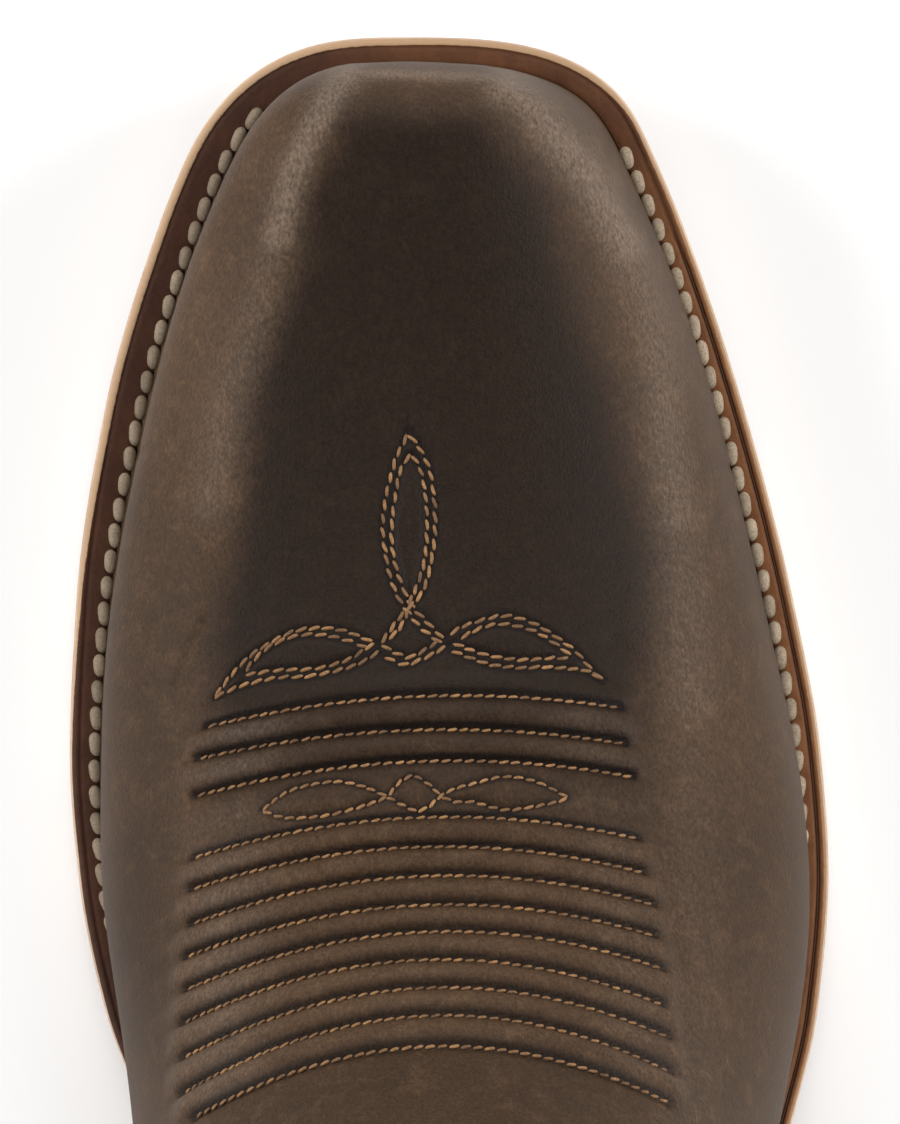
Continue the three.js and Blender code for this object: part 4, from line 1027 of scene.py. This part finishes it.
probe = np.linspace(*COUNTER_SPAN, 1400)
used = probe[counter_limit(probe)[1]]
counter_t = np.linspace(used[0], used[-1], COUNTER_ROWS)
limit_v = np.minimum(smoothed(counter_limit(counter_t)[0], 2), V_END)
columns = np.concatenate([[0, 0, 0], 0.002 + 0.998 * np.linspace(0, 1, 96)])
grows = np.concatenate([[0.1, 0.6, 1.03], np.full(96, OVERLAY)])
side_v = limit_v[:, None] + (1 - limit_v[:, None]) * columns[None, :]
CV = np.hstack([-side_v, side_v[:, ::-1]])
CT = np.repeat(counter_t[:, None], CV.shape[1], 1)
CG = np.repeat(np.concatenate([grows, grows[::-1]])[None, :], COUNTER_ROWS, 0)
counter_points = even_rows(skin_point(CT, CV, CG), counter_t)
counter_faces = grid_faces(*CT.shape)
row_of, column_of = np.divmod(counter_faces[:, 0], CT.shape[1])
across_sole = (column_of == len(columns) - 1) & (counter_t[row_of] < HEEL_ROW)
piece("counter_overlay", counter_points, counter_faces[~across_sole], counter_leather, ["counter"],
      attributes={"tone": 0.22 * wobble(counter_points, 18.0, 21) - 0.12})

# Half widths of the shaft by place in the side view, for the piping and the straps.
place_t = np.linspace(8.5, TOP_ROW, 420)
place_v = np.linspace(0.02, 0.98, 260)


def width_table(side, skin_form):
    p = skin_form.at(place_t[:, None], SIGN[side] * place_v[None, :])
    return along_of(p), np.abs(p[..., 0]), p[..., 2]


def half_at(table, along, z):
    s, wide, up = table
    height = [np.interp(along, s[i], up[i]) for i in range(len(s))]
    width = [np.interp(along, s[i], wide[i]) for i in range(len(s))]
    return float(np.interp(z, height, width))


outer_width = {side: width_table(side, S_BASE) for side in SIGN}
inner_width = {side: width_table(side, S_IN) for side in SIGN}


def tube(path, radius, sides=12, taper=3):
    """A round cord along a path, with rounded ends."""
    tangent = unit(np.gradient(path, axis=0))
    across = unit(np.cross(np.array([0.0, 1.0, 0.0]), tangent))
    out = np.cross(tangent, across)
    angle = np.arange(sides) / sides * 2 * math.pi
    scale = np.ones(len(path))
    for k in range(taper):
        scale[k] = scale[-1 - k] = math.sin((k + 0.35) / taper * math.pi / 2)
    rings = path[:, None, :] + (radius * scale)[:, None, None] * (
        across[:, None, :] * np.cos(angle)[None, :, None] + out[:, None, :] * np.sin(angle)[None, :, None])
    return rings, capped_faces(len(path), sides)


low = SEAM[1, 1] * SHAFT_HEIGHT + 3 * PIPING_RADIUS
high = SHAFT_HEIGHT + SCALLOP - STRAP_LENGTH - 4 * PIPING_RADIUS
for side in SIGN:
    path = [(SIGN[side] * (half_at(outer_width[side], s, z) + GAP + PIPING_RADIUS), y_of(s), z)
            for s, z in seam_line if low < z < high]
    piece("piping_" + side, *tube(np.array(path), PIPING_RADIUS), trim_leather, ["side_piping_" + side])

# The binding over the collar: rows of its rim as the upper's row, distance out and rise.
BINDING_ROW, RIM_RISE = TOP_ROW - 0.35, 0.2
outer, inner = GAP + BINDING, -WALL - GAP - BINDING
bend = np.radians([15, 35, 55, 75, 90])
rim = [(BINDING_ROW, GAP, 0), (BINDING_ROW, outer - 0.3, 0), (BINDING_ROW + 0.015, outer - 0.05, 0),
       (BINDING_ROW + 0.05, outer, 0), (TOP_ROW, outer, RIM_RISE)]
rim += [(TOP_ROW, outer - (1 - math.cos(a)), RIM_RISE + math.sin(a)) for a in bend]
rim += [(TOP_ROW, inner + (1 - math.cos(a)), RIM_RISE + math.sin(a)) for a in bend[::-1]]
rim += [(TOP_ROW, inner, RIM_RISE), (BINDING_ROW + 0.05, inner, 0), (BINDING_ROW + 0.015, inner + 0.05, 0),
        (BINDING_ROW, inner + 0.3, 0), (BINDING_ROW, -WALL - GAP, 0), (TOP_ROW, -WALL - GAP, GAP),
        (TOP_ROW, GAP, GAP)]
rim = np.array(rim)
hoop_v = np.concatenate([np.linspace(0, 1, 181)[:-1], np.linspace(-1, 0, 181)[:-1]])
BT, BV = np.meshgrid(rim[:, 0], hoop_v, indexing="ij")
binding_points = skin_point(BT, BV, np.repeat(rim[:, 1:2], len(hoop_v), 1))
binding_points[..., 2] += rim[:, 2:3]
hoop_faces = grid_faces(len(hoop_v) + 1, len(rim), wrap=True) % (len(hoop_v) * len(rim))
piece("binding", np.swapaxes(binding_points, 0, 1), hoop_faces, trim_leather, ["collar_binding"], sharp=70)

# The pull straps: up the outside, round a loop over the rim and down the inside.
STRAP_EASING = 14.0
CLEAR = BINDING + 2 * GAP
RIM_Z = SHAFT_HEIGHT + SCALLOP
STRAP_MIDDLE = SEAM[-1, 0] * SOLE_LENGTH
STITCH_PLACES = (-0.39, 0.39)
STRAP_EDGE = [(0.5, 0.5), (0.497, 0.25), (0.487, 0.08), (0.47, 0.0)]  # share of the width, depth in
inner_face = [(-k, d) for k, d in STRAP_EDGE] + [(k, 0.0) for k in np.linspace(-0.44, 0.44, 15)] + STRAP_EDGE[::-1]
strap_profile = inner_face + [(k, STRAP_THICKNESS - d) for k, d in inner_face[::-1]]
legs = [("outside", u) for u in np.linspace(0, 1, 31)] + [("loop", u) for u in np.linspace(0.04, 0.96, 36)]
legs += [("inside", u) for u in np.linspace(1, 0, 31)]
strap_lines = []


def strap_point(side, leg, share, k, depth):
    along = STRAP_MIDDLE + k * STRAP_WIDTH
    z = RIM_Z - STRAP_LENGTH * (1 - share)
    off = GAP + (CLEAR - GAP) * float(ease((z - (RIM_Z - 2.4 * STRAP_EASING)) / STRAP_EASING))
    if leg == "outside":
        return SIGN[side] * (half_at(outer_width[side], along, z) + off + depth), y_of(along), z
    if leg == "inside":
        return SIGN[side] * (half_at(inner_width[side], along, z) - off - depth), y_of(along), z
    out_x = half_at(outer_width[side], along, RIM_Z) + CLEAR + depth
    in_x = half_at(inner_width[side], along, RIM_Z) - CLEAR - depth
    angle = share * math.pi
    reach = (out_x - in_x) / 2 + LOOP_SWELL * math.sin(angle)
    return (SIGN[side] * ((out_x + in_x) / 2 + reach * math.cos(angle)), y_of(along),
            RIM_Z + (LOOP_HEIGHT - STRAP_THICKNESS + depth) * math.sin(angle))


for side in SIGN:
    rings = [[strap_point(side, leg, share, k, d) for k, d in strap_profile] for leg, share in legs]
    piece("strap_" + side, rings, capped_faces(len(legs), len(strap_profile)), strap_leather,
          ["pull_strap_" + side], sharp=50)
    strap_lines += [np.array([strap_point(side, leg, share, k, STRAP_THICKNESS) for leg, share in legs])
                    for k in STITCH_PLACES]

# The welt, fitted against the foot of the vamp. Its path runs from the lateral heel breast round the toe.
outer_line = outline_ring(WELT_INSET, deck_z, SOLE_STEPS)
s_outer = along_of(outer_line)
n_points = len(outer_line)
tangent = np.roll(outer_line, -1, 0) - np.roll(outer_line, 1, 0)
normal_in = unit(np.stack([-tangent[:, 1], tangent[:, 0], np.zeros(n_points)], 1))
centre = np.array([TOE_CENTRE, y_of(120.0), 0])
normal_in *= np.sign((normal_in * (centre - outer_line)).sum(1, keepdims=True))
on_welt = np.where(s_outer < BREAST + 0.5)[0]
path_ids = np.concatenate([on_welt[on_welt < n_points // 2][::-1], on_welt[on_welt >= n_points // 2][::-1]])


def reach_to_vamp(rise):
    """The distance from the welt's outer line in to the vamp, at a height over the deck."""
    reach = np.full(n_points, np.nan)
    for i in range(n_points):
        start = outer_line[i] + np.array([0, 0, rise]) - normal_in[i]
        hit, _, _, distance = VAMP_TREE.ray_cast(Vector(start * MM), Vector(normal_in[i]), 0.03)
        if hit is not None:
            reach[i] = distance / MM - 1.0
    found = np.where(~np.isnan(reach))[0]
    return smoothed(np.interp(np.arange(n_points), found, reach[found]), 3)


reach_low = reach_to_vamp(0.4)
welt_inner = np.minimum(reach_to_vamp(WELT_THICKNESS - 0.1), 14)
WELT_PROFILE = [  # share of the way in, extra distance in, rise, groove
    (0, 0.25, 0.0, 0), (0, 0.05, 0.15, 0), (0, 0.0, 0.5, 0), (0, 0.0, 1.9, 0), (0, 0.05, 2.4, 0),
    (0, 0.18, 2.8, 0), (0, 0.4, 3.05, 0), (0, 0.65, 3.15, 0), (0, 0.85, 3.18, 0.1), (0, 1.02, 3.12, 0.55),
    (0, 1.16, 2.95, 0.95), (0, 1.32, 2.86, 1), (0, 1.5, 2.95, 0.9), (0, 1.75, 3.14, 0.35), (0, 2.1, 3.2, 0),
    (0.4, 2.0, 3.2, 0), (0.75, 1.0, 3.18, 0.1), (0.93, 0.2, 3.12, 0.5), (1.0, 0.0, 3.05, 0.9), (1.0, 0.05, 0.2, 1),
]
# The raw edge's width, and the share of the paler and grooved lateral side; the medial side is darkened as painted
# shade.
raw_width = np.where(outer_line[:, 0] > TOE_CENTRE, 1.05 - 1.0 * ease((s_outer - 50) / 60), 0.45)
raw_width = np.maximum(raw_width, 0.95 * (1 - ease((s_outer - 4) / 16)))
lit_share = ease((TOE_CENTRE - outer_line[:, 0] + 22) / 30) * (0.35 + 0.65 * ease((s_outer - 6) / 30))
welt_rows, edge_values, groove_values = [], [], []
for k, (share, extra, rise, groove) in enumerate(WELT_PROFILE):
    if share == 1.0:
        distance = (reach_low if rise < 1 else welt_inner) - extra
    else:
        distance = share * (welt_inner - extra * (1 - share)) + extra
    distance = np.minimum(distance, welt_inner - 0.02 * (len(WELT_PROFILE) - k))
    row = outer_line + normal_in * distance[:, None]
    shallow = rise + (WELT_THICKNESS - rise) * (groove > 0.3) * (share < 0.9) * 0.6
    row[:, 2] += np.where(lit_share > groove, rise, shallow)
    welt_rows.append(row[path_ids])
    edge_values.append(ease((raw_width - distance) / 0.35 + 0.5)[path_ids])
    groove_values.append(groove * (lit_share[path_ids] if share < 0.9 else np.ones(len(path_ids))))
piece("welt_strip", np.swapaxes(np.array(welt_rows), 0, 1), capped_faces(len(path_ids), len(WELT_PROFILE)),
      welt_finish(), ["welt"], sharp=60,
      attributes={"edge": np.array(edge_values).T, "groove": np.array(groove_values).T,
                  "lit_side": np.repeat(lit_share[path_ids], len(WELT_PROFILE))})
welt_edge_in = (outer_line + normal_in * welt_inner[:, None] + np.array([0, 0, WELT_THICKNESS]))[path_ids]

# Threads. A stitch is a capsule: places along it and its radius there, as shares.
CAPSULE_STATIONS = [(-0.93, 0.42), (-0.78, 0.75), (-0.5, 0.96), (0, 1.0), (0.5, 0.96), (0.78, 0.75), (0.93, 0.42)]
STITCH_SIDES, STITCH_DIP = 8, 0.18


def capsule():
    angle = np.arange(STITCH_SIDES) / STITCH_SIDES * 2 * math.pi
    pts = [(-1.0, 0, 0)] + [(u, r * math.cos(a), r * math.sin(a)) for u, r in CAPSULE_STATIONS for a in angle]
    pts.append((1.0, 0, 0))
    last = len(pts) - 1
    faces = []
    for k in range(STITCH_SIDES):
        j = (k + 1) % STITCH_SIDES
        faces.append((0, 1 + j, 1 + k))
        for a in range(1, last - STITCH_SIDES, STITCH_SIDES):
            faces.append((a + k, a + j, a + STITCH_SIDES + j, a + STITCH_SIDES + k))
        faces.append((last - STITCH_SIDES + k, last - STITCH_SIDES + j, last))
    return np.array(pts), faces


CAPSULE, CAPSULE_FACES = capsule()
dice = random.Random(11)


class Threads:
    """Stitches gathered into one mesh."""

    def __init__(self):
        self.verts, self.faces, self.each, self.count = [], [], [], 0

    def stitch(self, centre, along, normal, size, skew, dull_and_shade):
        along = unit(along)
        across = unit(np.cross(normal, along))
        up = np.cross(along, across)
        along, across = (along * math.cos(skew) + across * math.sin(skew),
                         across * math.cos(skew) - along * math.sin(skew))
        x, y, z = CAPSULE.T
        pts = (centre + np.outer(x * size[0], along) + np.outer(y * size[1], across)
               + np.outer(z * size[2] - STITCH_DIP * x ** 2, up))
        self.verts.append(pts)
        self.faces += [tuple(i + self.count for i in f) for f in CAPSULE_FACES]
        self.each.append(np.full(len(pts), dice.uniform(*dull_and_shade)))
        self.count += len(pts)

    def run(self, path, normals, pitch, length, width, height, raise_by, jitter=0.05, skew=0.1, dull_and_shade=(0.0, 1.0)):
        """Stitches along a path, with the surface's normals, all in millimetres."""
        run = run_of(path)
        if run[-1] < pitch * 0.6:
            return
        n = max(int(round(run[-1] / pitch)), 1)
        step = run[-1] / n
        for k in range(n):
            mid = (k + 0.5) * step + dice.uniform(-jitter, jitter)
            half = length / 2 * dice.uniform(0.93, 1.06)
            a, b, c = [at_run(where, run, path) for where in (mid - half * 0.8, mid + half * 0.8, mid)]
            normal = unit(at_run(mid, run, normals))
            self.stitch((a + b + c) / 3 + normal * raise_by, b - a, normal, (half, width / 2, height / 2),
                        skew + dice.uniform(-0.05, 0.05), dull_and_shade)

    def build(self, name, material):
        piece(name, np.vstack(self.verts), self.faces, material, attributes={"each": np.concatenate(self.each)})


def cast(path):
    """Points and normals where lines of sight through places in the frame meet the vamp."""
    hits, normals = [], []
    for fx, fy in path:
        sight = unit(np.array([-(fx - FRAME_W / 2), fy - FRAME_H / 2, -FOCAL]))
        hit, normal, _, _ = VAMP_TREE.ray_cast(Vector(EYE * MM), Vector(sight), 2.0)
        if hit is not None:
            hits.append(np.array(hit) / MM)
            normals.append(np.array(normal) if normal[2] > 0 else -np.array(normal))
    return np.array(hits), np.array(normals)


# Kinds of stitch, in millimetres, with the skew in radians.
INSTEP_STITCH = dict(pitch=1.62, length=1.5, width=0.5, height=0.5, raise_by=0.06, skew=0.24)
FIGURE_STITCH = dict(pitch=1.95, length=1.85, width=0.56, height=0.55, raise_by=0.08, skew=0.24)
SMALL_STITCH = dict(pitch=1.65, length=1.55, width=0.52, height=0.5, raise_by=0.07, skew=0.22)
EDGE_STITCH = dict(pitch=2.3, length=1.85, width=0.6, height=0.5, raise_by=0.12)
STRAP_STITCH = dict(pitch=2.4, length=1.9, width=0.6, height=0.5, raise_by=0.1)
BEAD = dict(pitch=3.85, length=3.6, width=2.0, height=1.7, raise_by=0.15, jitter=0.06)
EDGE_INSETS = (2.2, 4.6)

instep = Threads()
for row in rows:
    instep.run(*cast(row.path()), **INSTEP_STITCH)
instep.build("instep_stitches", gold_thread)
figures = Threads()
for lines, kind in ((FIGURE, FIGURE_STITCH), (SMALL, SMALL_STITCH)):
    for line in lines:
        figures.run(*cast(smooth_line(line, 1.5)), **kind)
figures.build("figure_stitches", gold_thread)

# Rows of stitches along the vamp's edge, round the counter and on the straps.
edges = Threads()
for inset in EDGE_INSETS:
    v = np.linspace(-0.985, 0.985, 400)
    t_at = np.interp(v, v_axis, t_limit)
    rate = np.linalg.norm(S_OVER.at(t_at, v) - S_OVER.at(t_at - 0.2, v), axis=1) / 0.2
    t = t_at - inset / rate
    path = S_OVER.at(t, v)
    edges.run(path, unit(skin_point(t, v, OVERLAY + 0.5) - path), **EDGE_STITCH)
for sign in (-1, 1):
    for inset in EDGE_INSETS:
        v, some = counter_limit(counter_t, inset)
        t, v = counter_t[some], smoothed(np.minimum(v[some], V_END), 2)
        path = even_rows(skin_point(t, sign * v, OVERLAY), t)
        edges.run(path, unit(even_rows(skin_point(t, sign * v, OVERLAY + 0.5), t) - path), **EDGE_STITCH)
for line in strap_lines:
    normals = unit(np.cross(np.gradient(line, axis=0), np.array([0, 1.0, 0])))
    normals *= np.sign((normals * (line - line.mean(0))).sum(1, keepdims=True))
    edges.run(line, normals, **STRAP_STITCH)
edges.build("edge_stitches", gold_thread)

# The cord stitches between welt and vamp: a bead at each stitch, from the toe's corners back to the heel.
beads = Threads()
# The medial beads are darkened more than the lateral ones: painted shade.
for side, start, dull_and_shade in (("lateral", 15.5, (0.0, 0.45)), ("medial", 11.0, (0.6, 1.0))):
    mask = (np.sign(welt_edge_in[:, 0] - TOE_CENTRE) == SIGN[side]) & (along_of(welt_edge_in) > start)
    path = welt_edge_in[mask] - normal_in[path_ids][mask] * 0.6 + np.array([0, 0, 0.1])
    path = path[np.argsort(along_of(path))]
    up = np.tile(unit(np.array([SIGN[side] * 0.35, 0.0, 1.0])), (len(path), 1))
    beads.run(path, up, **BEAD, skew=0.2 * SIGN[side], dull_and_shade=dull_and_shade)
beads.build("welt_stitches", cream_thread)

# The floor and the lights.
bpy.ops.mesh.primitive_plane_add(size=60, location=(0, -0.1, -0.0003))
floor = bpy.context.object
floor.name = "floor"
n = Nodes("floor_finish")
mottle = n.mix(n.noise(3, 2, 0.5), (0.78, 0.78, 0.78), (0.82, 0.82, 0.82))
floor.data.materials.append(n.finish(mottle, 0.9, specular=0.1))


def soft_light(name, direction, strength, spread=38):
    """A far, wide light that comes from a direction."""
    data = bpy.data.lights.new(name, "SUN")
    data.energy, data.angle = strength, math.radians(spread)
    light = bpy.data.objects.new(name, data)
    scene.collection.objects.link(light)
    light.location = direction
    light.rotation_euler = (-Vector(direction)).to_track_quat("-Z", "Y").to_euler()


soft_light("left", (0.85, -0.07, 0.5), 3.5)
soft_light("right", (-0.85, -0.02, 0.5), 3.5)
soft_light("toe", (0.0, -0.97, 0.7), 2.1)
soft_light("heel", (0.0, 1.0, 0.95), 0.85)

world = bpy.data.worlds.new("studio")
scene.world = world
world.use_nodes = True
sky = world.node_tree
ramp = sky.nodes.new("ShaderNodeMapRange")
for key, value in (("From Min", 0.0), ("From Max", 0.5), ("To Min", 0.8), ("To Max", 0.03)):
    ramp.inputs[key].default_value = value
split = sky.nodes.new("ShaderNodeSeparateXYZ")
sky.links.new(sky.nodes.new("ShaderNodeTexCoord").outputs["Generated"], split.inputs[0])
sky.links.new(split.outputs["Z"], ramp.inputs["Value"])
sky.links.new(ramp.outputs["Result"], sky.nodes["Background"].inputs["Strength"])
sky.nodes["Background"].inputs["Color"].default_value = (1, 1, 1, 1)
